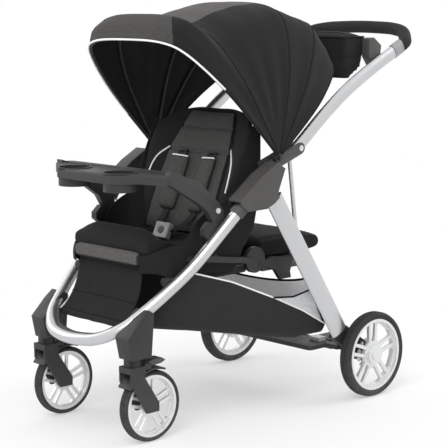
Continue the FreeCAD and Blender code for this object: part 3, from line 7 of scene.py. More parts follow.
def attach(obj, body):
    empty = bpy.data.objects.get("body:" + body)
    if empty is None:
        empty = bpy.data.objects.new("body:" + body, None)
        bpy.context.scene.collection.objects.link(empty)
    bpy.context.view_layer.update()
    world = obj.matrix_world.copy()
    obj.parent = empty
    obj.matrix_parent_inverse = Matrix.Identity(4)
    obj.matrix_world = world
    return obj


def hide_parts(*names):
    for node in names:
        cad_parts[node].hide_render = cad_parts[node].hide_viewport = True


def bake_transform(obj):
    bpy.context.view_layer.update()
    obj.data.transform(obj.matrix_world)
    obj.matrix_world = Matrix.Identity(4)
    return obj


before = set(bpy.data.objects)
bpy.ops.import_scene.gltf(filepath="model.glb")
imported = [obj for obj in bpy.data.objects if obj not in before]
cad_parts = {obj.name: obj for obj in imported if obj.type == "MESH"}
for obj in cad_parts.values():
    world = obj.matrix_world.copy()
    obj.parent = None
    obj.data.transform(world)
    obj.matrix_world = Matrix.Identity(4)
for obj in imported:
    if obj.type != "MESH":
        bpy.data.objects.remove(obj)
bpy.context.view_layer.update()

# A sit and stand stroller, dressed over its solids. "Ahead" is in front of the rear wheels' axle.
# Sizes in the dictionaries are millimetres and degrees; meshes are in metres.
axleY = 288.17
scene = bpy.context.scene
bothSides = ((1, "Left"), (-1, "Right"))


def spot(x, ahead, z):
    return Vector((x, axleY - ahead, z)) / 1000


def placed(name, data):
    thing = bpy.data.objects.new(name, data)
    scene.collection.objects.link(thing)
    return thing


def plug(tree, node, links):                    # links sockets and sets plain values
    for key, value in links.items():
        if isinstance(value, bpy.types.NodeSocket):
            tree.links.new(value, node.inputs[key])
        else:
            node.inputs[key].default_value = value
    return node


def addNode(tree, kind, links=None, **settings):
    made = tree.nodes.new(kind)
    for name, value in settings.items():
        setattr(made, name, value)
    return plug(tree, made, links or {})


def sums(tree, operation, *values, **settings):
    return addNode(tree, "ShaderNodeMath", dict(enumerate(values)), operation=operation, **settings).outputs[0]


# Camera, floor and lamps

camera = {"eye": (2.909536, -2.771309, 1.102052), "ahead": (-0.71742, 0.68015, -0.15065),
          "roll": -0.207, "lens": 117.15, "sensor": 36, "far": 60}
lens = bpy.data.cameras.new("photoLens")
lens.lens, lens.sensor_width, lens.sensor_fit = camera["lens"], camera["sensor"], "HORIZONTAL"
lens.clip_end = camera["far"]
eye = placed("photoCamera", lens)
forward = Vector(camera["ahead"]).normalized()
sideways = forward.cross(Vector((0, 0, 1))).normalized()
upright = sideways.cross(forward)
turn = math.radians(camera["roll"])
levelled = sideways * math.cos(turn) + upright * math.sin(turn)
raised = upright * math.cos(turn) - sideways * math.sin(turn)
eye.matrix_world = Matrix.Translation(camera["eye"]) @ Matrix((levelled, raised, -forward)).transposed().to_4x4()
scene.camera = eye
scene.view_settings.view_transform = "Standard"

studio = {"floorColour": (0.95, 0.95, 0.95, 1), "floorHalf": 9, "fadeFrom": 0.5, "fadeTo": 1.3, "haze": 0.4,
          "white": (1, 1, 1, 1), "sky": 0.78, "aim": (0, 0, 0.5),
          "lamps": [("keyLamp", (2.2, -3.6, 4.2), 3.2, 106), ("fillLamp", (-3.8, -1.8, 2.6), 3.0, 42),
                    ("backLamp", (1.8, 3.6, 3.4), 2.6, 56)]}


def seenDirectly(tree):                         # one for camera, mirror and glass rays, nought for the light
    rays = addNode(tree, "ShaderNodeLightPath").outputs
    seen = sums(tree, "MAXIMUM", rays["Is Camera Ray"], rays["Is Glossy Ray"])
    return sums(tree, "MAXIMUM", seen, rays["Is Transmission Ray"])


world = bpy.data.worlds.new("studioWorld")
scene.world = world
world.use_nodes = True
tree = world.node_tree
tree.nodes.clear()
dim, bright = [addNode(tree, "ShaderNodeBackground", {"Color": studio["white"], "Strength": glow}).outputs[0]
               for glow in (studio["sky"], 1.0)]
mixed = addNode(tree, "ShaderNodeMixShader", {0: seenDirectly(tree), 1: dim, 2: bright})
addNode(tree, "ShaderNodeOutputWorld", {"Surface": mixed.outputs[0]})
for name, place, size, power in studio["lamps"]:
    lamp = bpy.data.lights.new(name, "AREA")
    lamp.shape, lamp.size, lamp.energy = "DISK", size, power
    holder = placed(name, lamp)
    holder.location = place
    holder.rotation_euler = (Vector(studio["aim"]) - Vector(place)).to_track_quat("-Z", "Y").to_euler()
print("camera and studio set")

# Shader groups that several finishes share

floatKind, colourKind, vectorKind = "NodeSocketFloat", "NodeSocketColor", "NodeSocketVector"
intKind, materialKind = "NodeSocketInt", "NodeSocketMaterial"
shown = (("Color", colourKind), ("Roughness", floatKind), ("Height", floatKind))


def makeGroup(title, sockets, results, kind="ShaderNodeTree"):
    group = bpy.data.node_groups.new(title, kind)
    for name, kind, start in sockets:
        socket = group.interface.new_socket(name=name, in_out="INPUT", socket_type=kind)
        if start is not None:
            socket.default_value = start
    for name, kind in results:
        group.interface.new_socket(name=name, in_out="OUTPUT", socket_type=kind)
    return group, group.nodes.new("NodeGroupInput").outputs, group.nodes.new("NodeGroupOutput")


def shaderGroup(title, colour, values, results=shown):
    sockets = [("Color", colourKind, (colour, colour, colour, 1)), ("Vector", vectorKind, None)]
    return makeGroup(title, sockets + [(name, floatKind, start) for name, start in values.items()], results)


def tone(group, colour, value):                 # a colour made darker or lighter by a value
    return addNode(group, "ShaderNodeVectorMath", {0: colour, "Scale": value}, operation="SCALE").outputs[0]


def ranged(group, value, low, high, **more):
    return addNode(group, "ShaderNodeMapRange", {"Value": value, "To Min": low, "To Max": high, **more}).outputs[0]


def speckle(group, vector, scale, detail, **more):
    return addNode(group, "ShaderNodeTexNoise", {"Vector": vector, "Scale": scale, "Detail": detail,
                                                 **more}).outputs["Fac"]


wovenCloth, into, out = shaderGroup("wovenCloth", 0.02, {"Threads": 230, "FoldShade": 0.3, "Dull": 0.9})
warp, weft = [addNode(wovenCloth, "ShaderNodeTexWave", {"Vector": into["Vector"], "Scale": into["Threads"]},
                      bands_direction=way).outputs["Fac"] for way in "XY"]
threads = sums(wovenCloth, "MAXIMUM", warp, weft)
patches, lint = [speckle(wovenCloth, into["Vector"], scale, detail) for scale, detail in ((22, 5), (700, 2))]
# the large noise patches, scaled per finish, paint fold shading, light and dark, into the cloth's colour; the
# threads are the weave's own pattern
shade = sums(wovenCloth, "ADD", ranged(wovenCloth, threads, 0.72, 1.05),
             sums(wovenCloth, "MULTIPLY", patches, into["FoldShade"]))
fleck = sums(wovenCloth, "MULTIPLY", shade, ranged(wovenCloth, lint, 0.8, 1.2))
plug(wovenCloth, out, {"Color": tone(wovenCloth, into["Color"], fleck),
                       "Roughness": sums(wovenCloth, "MULTIPLY", into["Dull"],
                                         ranged(wovenCloth, patches, 0.94, 1.04)),
                       "Height": sums(wovenCloth, "MULTIPLY_ADD", patches, 2.4, threads)})

heather, into, out = shaderGroup("heather", 0.1, {"Light": 1.5, "Dark": 0.55}, shown[:1])
stretched = addNode(heather, "ShaderNodeMapping", {"Vector": into["Vector"], "Scale": (1, 0.22, 0.6)})
fibres = sums(heather, "ADD", speckle(heather, stretched.outputs[0], 900, 3),
              speckle(heather, into["Vector"], 130, 3))
strands = ranged(heather, fibres, into["Dark"], into["Light"], **{"From Min": 0.75, "From Max": 1.25})
plug(heather, out, {"Color": tone(heather, into["Color"], strands)})

mouldedGrain, into, out = shaderGroup("mouldedGrain", 0.1, {"Grain": 1400, "Dull": 0.5})
pebbles = addNode(mouldedGrain, "ShaderNodeTexVoronoi", {"Vector": into["Vector"], "Scale": into["Grain"]})
swirls = speckle(mouldedGrain, into["Vector"], 16, 6)
plug(mouldedGrain, out, {"Color": tone(mouldedGrain, into["Color"], ranged(mouldedGrain, swirls, 0.82, 1.2)),
                         "Roughness": sums(mouldedGrain, "MULTIPLY", into["Dull"],
                                           ranged(mouldedGrain, swirls, 0.8, 1.2)),
                         "Height": pebbles.outputs["Distance"]})

drawnMetal, into, out = shaderGroup("drawnMetal", 0.8, {"Dull": 0.35, "Streak": 260})
drawn = addNode(drawnMetal, "ShaderNodeMapping", {"Vector": into["Vector"], "Scale": (1, 0.06, 0.06)})
lines = speckle(drawnMetal, drawn.outputs[0], into["Streak"], 3)
smears = speckle(drawnMetal, into["Vector"], 9, 5)
plug(drawnMetal, out, {"Color": tone(drawnMetal, into["Color"], ranged(drawnMetal, smears, 0.94, 1.05)),
                       "Roughness": sums(drawnMetal, "MULTIPLY", into["Dull"],
                                         ranged(drawnMetal, lines, 0.75, 1.25)),
                       "Height": lines})

floorDust, into, out = shaderGroup("floorDust", 0.1, {"Amount": 0.3, "Reach": 0.25}, shown[:1])
apart = addNode(floorDust, "ShaderNodeSeparateXYZ", {0: into["Vector"]})
low = ranged(floorDust, apart.outputs["Z"], 1, 0, **{"From Max": into["Reach"]})
specks = speckle(floorDust, into["Vector"], 70, 8, Roughness=0.7)
settledDust = sums(floorDust, "MULTIPLY", low, ranged(floorDust, specks, -0.4, 1.3), use_clamp=True)
dusted = addNode(floorDust, "ShaderNodeMix", {0: sums(floorDust, "MULTIPLY", settledDust, into["Amount"]),
                                              6: into["Color"], 7: (0.42, 0.40, 0.37, 1)}, data_type="RGBA")
plug(floorDust, out, {"Color": dusted.outputs[2]})

# Finishes, and the slot that each one has in the part

finishes = {}


def newFinish(name, group, colour, values, bump=0.2, depth=0.0004, cloth=False, speckled=None, dust=0.0,
              metal=0.0, sheen=0.0, specular=0.5):
    made = finishes[name] = bpy.data.materials.new(name)
    made.use_nodes = True
    nodes = made.node_tree
    where = addNode(nodes, "ShaderNodeTexCoord").outputs
    vector = where["UV" if cloth else "Object"]
    surface = addNode(nodes, "ShaderNodeGroup", {"Vector": vector, "Color": (*colour, 1), **values},
                      node_tree=group).outputs
    tint = surface["Color"]
    if speckled:
        tint = addNode(nodes, "ShaderNodeGroup", {"Vector": vector, "Color": tint, "Light": speckled[0],
                                                  "Dark": speckled[1]}, node_tree=heather).outputs["Color"]
    if dust:
        tint = addNode(nodes, "ShaderNodeGroup", {"Vector": where["Object"], "Color": tint, "Amount": dust},
                       node_tree=floorDust).outputs["Color"]
    relief = addNode(nodes, "ShaderNodeBump", {"Height": surface["Height"], "Strength": bump, "Distance": depth})
    plug(nodes, nodes.nodes["Principled BSDF"], {
        "Base Color": tint, "Roughness": surface["Roughness"], "Normal": relief.outputs[0], "Metallic": metal,
        "Specular IOR Level": specular, "Sheen Weight": sheen, "Sheen Roughness": 0.4})


# in each cloth finish, the second value sets how much painted fold shading its colour gets
newFinish("blackCloth", wovenCloth, (0.0115, 0.012, 0.0125), {"Threads": 240, "FoldShade": 0.35},
          cloth=True, bump=0.35, sheen=0.05, specular=0.24)
newFinish("greyCloth", wovenCloth, (0.092, 0.089, 0.085), {"Threads": 240, "FoldShade": 0.2}, cloth=True,
          bump=0.4, speckled=(1.2, 0.8), sheen=0.05, specular=0.25)
newFinish("visorCloth", wovenCloth, (0.062, 0.060, 0.058), {"Threads": 240, "FoldShade": 0.25},
          cloth=True, bump=0.4, speckled=(1.2, 0.8), sheen=0.04, specular=0.22)
newFinish("padCloth", wovenCloth, (0.062, 0.061, 0.059), {"Threads": 200, "FoldShade": 0.2}, cloth=True,
          bump=0.45, speckled=(1.25, 0.75), sheen=0.05, specular=0.25)
newFinish("basketCloth", wovenCloth, (0.021, 0.0212, 0.0215), {"Threads": 200, "FoldShade": 0.35},
          cloth=True, bump=0.4, dust=0.03, sheen=0.05, specular=0.25)
newFinish("bindingTape", wovenCloth, (0.0095, 0.0095, 0.010), {"Threads": 420, "FoldShade": 0.2},
          bump=0.3, specular=0.25)
newFinish("pipingVinyl", mouldedGrain, (0.86, 0.86, 0.85), {"Grain": 900, "Dull": 0.45}, bump=0.1)
newFinish("webbing", wovenCloth, (0.012, 0.012, 0.013), {"Threads": 330, "FoldShade": 0.3, "Dull": 0.75},
          bump=0.6, specular=0.3)
newFinish("threadGrey", mouldedGrain, (0.05, 0.05, 0.052), {"Grain": 2600, "Dull": 0.7}, bump=0.2)
newFinish("silverTube", drawnMetal, (0.60, 0.605, 0.615), {"Dull": 0.3, "Streak": 260}, bump=0.03,
          metal=0.92)
newFinish("brightSteel", drawnMetal, (0.72, 0.72, 0.73), {"Dull": 0.24, "Streak": 700}, bump=0.03,
          metal=1.0)
newFinish("darkPlastic", mouldedGrain, (0.024, 0.024, 0.025), {"Grain": 1500, "Dull": 0.5}, bump=0.16,
          dust=0.08, specular=0.4)
newFinish("greyPlastic", mouldedGrain, (0.066, 0.064, 0.062), {"Grain": 1500, "Dull": 0.46},
          bump=0.12, specular=0.4)
newFinish("trayPlastic", mouldedGrain, (0.040, 0.039, 0.038), {"Grain": 1500, "Dull": 0.5},
          bump=0.12, specular=0.35)
newFinish("palePlastic", mouldedGrain, (0.30, 0.30, 0.31), {"Grain": 1300, "Dull": 0.25}, bump=0.1)
newFinish("lightPlastic", mouldedGrain, (0.62, 0.62, 0.62), {"Grain": 1300, "Dull": 0.4}, bump=0.1)
newFinish("foamGrip", mouldedGrain, (0.018, 0.018, 0.019), {"Grain": 620, "Dull": 0.8}, bump=0.5,
          specular=0.3)
newFinish("tyreRubber", mouldedGrain, (0.020, 0.020, 0.021), {"Grain": 1100, "Dull": 0.68}, bump=0.25,
          dust=0.2, specular=0.35)
newFinish("rimSilver", drawnMetal, (0.78, 0.785, 0.79), {"Dull": 0.36, "Streak": 120}, bump=0.02,
          dust=0.08, metal=0.45)


def netFinish():                                # pale warp-knit mesh with real holes in its alpha
    made = finishes["netCloth"] = bpy.data.materials.new("netCloth")
    made.use_nodes = True
    nodes = made.node_tree
    where = addNode(nodes, "ShaderNodeTexCoord").outputs["UV"]
    surface = addNode(nodes, "ShaderNodeGroup", {"Vector": where, "Color": (0.72, 0.73, 0.75, 1), "Threads": 120},
                      node_tree=wovenCloth)
    cells = addNode(nodes, "ShaderNodeTexVoronoi", {"Vector": where, "Scale": 300, "Randomness": 0.15})
    hole = ranged(nodes, cells.outputs["Distance"], 0, 1, **{"From Min": 0.36, "From Max": 0.44})
    plug(nodes, nodes.nodes["Principled BSDF"], {"Base Color": surface.outputs["Color"], "Alpha": hole,
                                                 "Roughness": 0.8})


netFinish()
floorMesh = bpy.data.meshes.new("studioFloor")
half = studio["floorHalf"]
floorMesh.from_pydata([(-half, -half, 0), (half, -half, 0), (half, half, 0), (-half, half, 0)], [], [(0, 1, 2, 3)])
floor = placed("studioFloor", floorMesh)
paint = bpy.data.materials.new("floorPaint")    # pale by the wheels, where shadows fall, and white further out
paint.use_nodes = True
tree = paint.node_tree
tree.nodes.clear()
reach = addNode(tree, "ShaderNodeVectorMath", {0: addNode(tree, "ShaderNodeTexCoord").outputs["Object"]},
                operation="LENGTH")
fade = addNode(tree, "ShaderNodeMapRange", {"Value": reach.outputs["Value"], "From Min": studio["fadeFrom"],
                                            "From Max": studio["fadeTo"], "To Min": studio["haze"]},
               interpolation_type="SMOOTHSTEP")
matt = addNode(tree, "ShaderNodeBsdfDiffuse", {"Color": studio["floorColour"]})
glow = addNode(tree, "ShaderNodeEmission", {"Color": studio["white"], "Strength": 1.0})
mixed = addNode(tree, "ShaderNodeMixShader", {0: sums(tree, "MULTIPLY", fade.outputs[0], seenDirectly(tree)),
                                              1: matt.outputs[0], 2: glow.outputs[0]})
addNode(tree, "ShaderNodeOutputMaterial", {"Surface": mixed.outputs[0]})
floorMesh.materials.append(paint)

cadFinishes = {
    "silverTube": ["front_frame_tube", "rear_legs", "handle_tubes", "hanger_tubes"],
    "darkPlastic": ["footrest_strip", "hub_plates", "axle_tube", "brake_pedal", "cup_bowls", "handle_bar_core",
                    "canopy_clips", "seat_frame"],
    "greyPlastic": ["storage_latch", "buckle_button"], "palePlastic": ["handle_collars"],
    "lightPlastic": ["platform_grips", "tray_button_left", "tray_button_right"], "webbing": ["crotch_strap"],
    "foamGrip": ["handle_foam"],
    "rimSilver": ["rear_rim_left", "rear_rim_right", "front_rim_left", "front_rim_right"],
    "brightSteel": ["frame_rivets", "latch_pivot", "brake_pin_left", "brake_pin_right"]}
for finish, names in cadFinishes.items():
    for name in names:
        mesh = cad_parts[name].data
        for index in range(max(1, len(mesh.materials))):
            if len(mesh.materials) <= index:
                mesh.materials.append(finishes[finish])
            else:
                mesh.materials[index] = finishes[finish]
print("finishes made")

# Helpers for lines, skins and welts


def softened(points, rounds=3, loop=False):     # cuts the corners of a run of points, as a drawn curve would
    for _ in range(rounds):
        pairs = list(zip(points, points[1:] + points[:1] if loop else points[1:]))
        inner = [end for a, b in pairs for end in (a.lerp(b, 0.25), a.lerp(b, 0.75))]
        points = inner if loop else [points[0]] + inner[1:-1] + [points[-1]]
    return points


def spaced(points, count):                      # the same line with points an even distance apart
    reach = [0.0]
    for a, b in zip(points, points[1:]):
        reach.append(reach[-1] + (b - a).length)
    found, step = [], 0
    for index in range(count):
        goal = reach[-1] * index / (count - 1)
        while step < len(points) - 2 and reach[step + 1] < goal:
            step += 1
        span = max(reach[step + 1] - reach[step], 1e-9)
        found.append(points[step].lerp(points[step + 1], (goal - reach[step]) / span))
    return found


def softLoop(line, count):
    loop = softened(line, 3, True)
    return spaced(loop + loop[:1], count + 1)[:-1]


def held(value, low, high):
    return min(max(value, low), high)


def squared(value, power):                      # keeps its sign while a power makes a wave blunter
    return math.copysign(abs(value) ** power, value)


def between(table, key):                        # values between rows of (key, value, ...), eased if they hold one
    for low, high in zip(table, table[1:]):
        if key <= high[0] or high is table[-1]:
            share = held((key - low[0]) / (high[0] - low[0]), 0, 1)
            share = share * share * (3 - 2 * share) if len(low) == 2 else share
            values = [a + (b - a) * share for a, b in zip(low[1:], high[1:])]
            return values[0] if len(values) == 1 else values


def gridRows(rows, columns, place):             # points for each share along and across, both from nought to one
    return [[place(i / rows, j / columns) for j in range(columns + 1)] for i in range(rows + 1)]


def skin(name, rows, loop=False, caps=False):
    made = bmesh.new()
    grid = [[made.verts.new(point) for point in row] for row in rows]
    layer = made.loops.layers.uv.new("cloth")
    count = len(rows[0])
    middle = rows[len(rows) // 2]
    wide, long = [0.0], [0.0]
    for a, b in zip(middle, middle[1:] + middle[:1]):
        wide.append(wide[-1] + (b - a).length)
    for a, b in zip(rows, rows[1:]):
        long.append(long[-1] + max((b[count // 2] - a[count // 2]).length, (b[0] - a[0]).length))
    for i in range(len(rows) - 1):
        for j in range(count if loop else count - 1):
            k = (j + 1) % count
            face = made.faces.new((grid[i][j], grid[i][k], grid[i + 1][k], grid[i + 1][j]))
            for corner, (u, v) in zip(face.loops, ((j, i), (j + 1, i), (j + 1, i + 1), (j, i + 1))):
                corner[layer].uv = (wide[u], long[v])
    if caps:
        made.faces.new(grid[0])
        made.faces.new(grid[-1])
    if caps or loop:
        bmesh.ops.recalc_face_normals(made, faces=made.faces)
    for face in made.faces:
        face.smooth = len(face.verts) == 4
    mesh = bpy.data.meshes.new(name)
    made.to_mesh(mesh)
    made.free()
    return placed(name, mesh)


def closed(thing, *loops):                      # a face over each loop of vertex numbers
    edit = bmesh.new()
    edit.from_mesh(thing.data)
    edit.verts.ensure_lookup_table()
    for loop in loops:
        edit.faces.new([edit.verts[index] for index in loop])
    bmesh.ops.recalc_face_normals(edit, faces=edit.faces)
    edit.to_mesh(thing.data)
    edit.free()


def settle(thing):                              # live modifiers become a plain mesh
    graph = bpy.context.evaluated_depsgraph_get()
    mesh = bpy.data.meshes.new_from_object(thing.evaluated_get(graph), preserve_all_data_layers=True,
                                           depsgraph=graph)
    if thing.type == "MESH":
        thing.modifiers.clear()
        thing.data = mesh
        return thing
    name = thing.name
    bpy.data.objects.remove(thing)
    return placed(name, mesh)


def thicken(thing, thick, offset=0):
    wall = thing.modifiers.new("wall", "SOLIDIFY")
    wall.thickness, wall.offset, wall.use_even_offset = thick / 1000, offset, True
    return settle(thing)


def drawnCurve(name, lines):
    curve = bpy.data.curves.new(name, "CURVE")
    curve.dimensions = "3D"
    for line in lines:
        spline = curve.splines.new("POLY")
        spline.points.add(len(line) - 1)
        for point, place in zip(spline.points, line):
            point.co = (*place, 1)
    return placed(name, curve)


def dress(thing, finish, body, stands=()):
    if finish:
        thing.data.materials.clear()
        thing.data.materials.append(finishes[finish])
    if stands:
        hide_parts(*stands)
    if body:
        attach(thing, body)
    return thing


def welt(name, lines, radius, sides=2, finish="bindingTape", body="frame"):     # a round cord along each line
    thing = drawnCurve(name, lines)
    thing.data.bevel_depth, thing.data.bevel_resolution, thing.data.use_fill_caps = radius / 1000, sides, True
    thing = settle(thing)
    for face in thing.data.polygons:
        face.use_smooth = True
    return dress(thing, finish, body)


def piping(name, lines, radius, body):
    return welt(name, lines, radius, 3, "pipingVinyl", body)


def plump(thing, push, reach, frames=16):       # inflates a pad a little, as filling does
    rest = [vertex.co.copy() for vertex in thing.data.vertices]
    cloth = thing.modifiers.new("filling", "CLOTH")
    cloth.settings.use_pressure = True
    cloth.settings.uniform_pressure_force = push
    cloth.settings.effector_weights.gravity = 0
    cloth.settings.quality = 4
    for number in range(1, frames + 1):
        scene.frame_set(number)
    graph = bpy.context.evaluated_depsgraph_get()
    swollen = thing.evaluated_get(graph).to_mesh()
    moved = []
    for before, after in zip(rest, swollen.vertices):
        step = after.co - before
        moved.append(before + (step if step.length <= reach / 1000 else step.normalized() * reach / 1000))
    thing.evaluated_get(graph).to_mesh_clear()
    thing.modifiers.clear()
    for vertex, place in zip(thing.data.vertices, moved):
        vertex.co = place
    thing.data.update()
    scene.frame_set(1)


# Geometry Nodes trees for what repeats


def makeTree(title, sockets):
    shape = ("Geometry", "NodeSocketGeometry")
    return makeGroup(title, [(*shape, None), *sockets, ("Finish", materialKind, None)], [shape], "GeometryNodeTree")


def endTree(group, made, into, out):            # real geometry with its finish, as the export needs
    real = addNode(group, "GeometryNodeRealizeInstances", {0: made})
    painted = addNode(group, "GeometryNodeSetMaterial", {"Geometry": real.outputs[0], "Material": into["Finish"]})
    plug(group, out, {"Geometry": painted.outputs[0]})


def runTree(thing, group, finish, values):
    growth = thing.modifiers.new(group.name, "NODES")
    growth.node_group = group
    known = {item.name: item.identifier for item in group.interface.items_tree
             if item.item_type == "SOCKET" and item.in_out == "INPUT"}
    for key, value in {**values, "Finish": finishes[finish]}.items():
        growth[known[key]] = value
    return settle(thing)


def aligned(group, vector, axis):
    return addNode(group, "FunctionNodeAlignRotationToVector", {"Vector": vector}, axis=axis).outputs[0]


def strewn(group, points, instance, turned, **more):
    links = {"Points": points, "Instance": instance, "Rotation": turned, **more}
    return addNode(group, "GeometryNodeInstanceOnPoints", links).outputs[0]


stitchRow, into, out = makeTree("stitchRow", [("Spacing", floatKind, 0.004), ("Long", floatKind, 0.0026),
                                              ("Thick", floatKind, 0.0007)])
evenly = addNode(stitchRow, "GeometryNodeResampleCurve", {"Curve": into["Geometry"], "Length": into["Spacing"]},
                 mode="LENGTH")
heading = aligned(stitchRow, addNode(stitchRow, "GeometryNodeInputTangent").outputs[0], "X")
stitch = addNode(stitchRow, "GeometryNodeMeshIcoSphere", {"Radius": 0.5, "Subdivisions": 1})
size = addNode(stitchRow, "ShaderNodeCombineXYZ", {"X": into["Long"], "Y": into["Thick"], "Z": into["Thick"]})
endTree(stitchRow, strewn(stitchRow, evenly.outputs[0], stitch.outputs[0], heading, Scale=size.outputs[0]),
        into, out)

ridgeRow, into, out = makeTree("ridgeRow", [("Count", intKind, 8), ("Start", vectorKind, None),
                                            ("Step", vectorKind, None), ("Size", vectorKind, None)])
rowLine = addNode(ridgeRow, "GeometryNodeMeshLine", {"Count": into["Count"], "Start Location": into["Start"],
                                                     "Offset": into["Step"]})
ridge = addNode(ridgeRow, "GeometryNodeMeshCube", {"Size": into["Size"], "Vertices X": 2, "Vertices Y": 2,
                                                   "Vertices Z": 2})
rounded = addNode(ridgeRow, "GeometryNodeSubdivisionSurface", {"Mesh": ridge.outputs[0], "Level": 2,
                                                               "Edge Crease": 0.5})
endTree(ridgeRow, strewn(ridgeRow, rowLine.outputs[0], rounded.outputs[0], (0, 0, 0)), into, out)

screwSet, into, out = makeTree("screwSet", [("Radius", floatKind, 0.003), ("Rise", floatKind, 0.0012),
                                            ("Facing", vectorKind, None)])
head = addNode(screwSet, "GeometryNodeMeshCone", {"Vertices": 24, "Radius Top": 0.72, "Radius Bottom": 1.0,
                                                  "Depth": 1.0})
socketHole = addNode(screwSet, "GeometryNodeMeshCylinder", {"Vertices": 6, "Radius": 0.42, "Depth": 1.2})
raisedHole = addNode(screwSet, "GeometryNodeTransform", {"Geometry": socketHole.outputs[0],
                                                         "Translation": (0, 0, 1.05)})
drilled = addNode(screwSet, "GeometryNodeMeshBoolean", {"Mesh 1": head.outputs[0], "Mesh 2": raisedHole.outputs[0]},
                  operation="DIFFERENCE")
headSize = addNode(screwSet, "ShaderNodeCombineXYZ", {"X": into["Radius"], "Y": into["Radius"], "Z": into["Rise"]})
endTree(screwSet, strewn(screwSet, into["Geometry"], drilled.outputs[0], aligned(screwSet, into["Facing"], "Z"),
                         Scale=headSize.outputs[0]), into, out)

wheelTyre, into, out = makeTree("wheelTyre", [("Radius", floatKind, 0.12), ("Wide", floatKind, 0.036),
                                              ("Deep", floatKind, 0.019), ("Round", floatKind, 0.009),
                                              ("Blocks", intKind, 84), ("Centre", vectorKind, None)])
tread = {"rise": 0.0011, "long": 4.4, "wide": 0.2, "apart": 0.13, "ring": 128}


def ringOf(resolution, radius):
    return addNode(wheelTyre, "GeometryNodeCurvePrimitiveCircle", {"Resolution": resolution, "Radius": radius})


def reckoned(operation, a, b):
    return sums(wheelTyre, operation, a, b)


ringRadius = reckoned("SUBTRACT", reckoned("SUBTRACT", into["Radius"], reckoned("MULTIPLY", into["Deep"], 0.5)),
                      tread["rise"] / 2)
section = addNode(wheelTyre, "GeometryNodeCurvePrimitiveQuadrilateral",
                  {"Width": reckoned("SUBTRACT", into["Deep"], tread["rise"]), "Height": into["Wide"]})
sectionRound = addNode(wheelTyre, "GeometryNodeFilletCurve", {"Curve": section.outputs[0], "Radius": into["Round"],
                                                              "Count": 7}, mode="POLY")
casing = addNode(wheelTyre, "GeometryNodeCurveToMesh", {"Curve": ringOf(tread["ring"], ringRadius).outputs[0],
                                                        "Profile Curve": sectionRound.outputs[0]})
blockRing = ringOf(into["Blocks"], reckoned("SUBTRACT", into["Radius"], tread["rise"]))
blockSize = addNode(wheelTyre, "ShaderNodeCombineXYZ",
                    {"X": reckoned("DIVIDE", reckoned("MULTIPLY", into["Radius"], tread["long"]), into["Blocks"]),
                     "Y": tread["rise"] * 2, "Z": reckoned("MULTIPLY", into["Wide"], tread["wide"])})
block = addNode(wheelTyre, "GeometryNodeMeshCube", {"Size": blockSize.outputs[0]})
blocks = strewn(wheelTyre, blockRing.outputs[0], block.outputs[0],
                aligned(wheelTyre, addNode(wheelTyre, "GeometryNodeInputTangent").outputs[0], "X"))
whole = addNode(wheelTyre, "GeometryNodeJoinGeometry", {0: casing.outputs[0]})
for side in (-1, 1):
    shift = addNode(wheelTyre, "ShaderNodeCombineXYZ",
                    {"Z": reckoned("MULTIPLY", into["Wide"], tread["apart"] * side)})
    half = addNode(wheelTyre, "GeometryNodeTransform", {"Geometry": blocks, "Translation": shift.outputs[0]})
    plug(wheelTyre, whole, {0: half.outputs[0]})
wheel = addNode(wheelTyre, "GeometryNodeTransform", {"Geometry": whole.outputs[0], "Translation": into["Centre"],
                                                     "Rotation": (0, math.pi / 2, 0)})
endTree(wheelTyre, wheel.outputs[0], into, out)


def sewRow(name, lines, body, spacing=4.6, long=3, thick=0.8):
    thing = runTree(drawnCurve(name, lines), stitchRow, "threadGrey",
                    {"Spacing": spacing / 1000, "Long": long / 1000, "Thick": thick / 1000})
    return dress(thing, "threadGrey", body)


def seedMesh(name, place=(0, 0, 0)):
    mesh = bpy.data.meshes.new(name)
    mesh.from_pydata([tuple(place)], [], [])
    return placed(name, mesh)


print("node trees made")

# Canopy: cloth over four bows, grey along the top and black down the sides

hood = {"ahead": 337, "z": 697, "ring": 14, "rear": -51, "backBow": -31, "midBow": -12, "topBow": 30, "front": 45,
        "domed": [(0, 1), (0.32, 0.98), (0.565, 0.936), (0.765, 0.863), (0.855, 0.75), (0.905, 0.66),
                  (0.955, 0.55), (0.99, 0.38)],
        "boxy": [(0, 1), (0.3, 0.998), (0.5, 0.985), (0.68, 0.95), (0.79, 0.87), (0.87, 0.755), (0.915, 0.66),
                 (0.96, 0.55), (0.99, 0.38)],
        "boxiness": [(-51, 1), (-24, 1), (-12, 0.6), (4, 0), (26, 0), (32, 1), (45, 1)],
        "radii": [(-51, 396), (-41, 408), (-31, 418), (-22, 409), (-12, 413), (-3, 407), (9, 400), (20, 396),
                  (30, 404), (35, 458), (40, 461), (45, 439)],
        "halves": [(-51, 249), (-12, 250.5), (30, 252.5), (45, 255.4)],
        "grey": [(-51, 0.16), (-12, 0.16), (30, 0.17), (45, 0.28)], "greyColumns": 0.25, "columns": 96,
        "cloth": 1.4, "fold": 4, "step": 1.4, "bow": 3.6, "bowLift": -5.2, "piped": (0.1, 0.79),
        "panels": [("Front", "topBow", "front", 1, "visorCloth", (1.17, 0.13), 0.084, ["Front", "Top"]),
                   ("Middle", "midBow", "topBow", 3, "greyCloth", (1.14, 0.31), 0.19, ["Top", "Middle"]),
                   ("Rear", "rear", "midBow", 2, "blackCloth", (1.11, 0.27), 0.165, ["Middle", "Rear"])]}
hoodBodies = {"Front": "canopy_front", "Top": "canopy_middle", "Middle": "frame", "Rear": "frame"}


def hoodArc(profile, radius, wide, count):      # evenly spaced points over the canopy from side to side
    row = [Vector((wide * across, radius * share, 0)) for across, share in hood[profile]]
    row.append(Vector((wide, hood["ring"], 0)))
    return spaced(softened([Vector((-p.x, p.y, 0)) for p in reversed(row[1:])] + row), count)


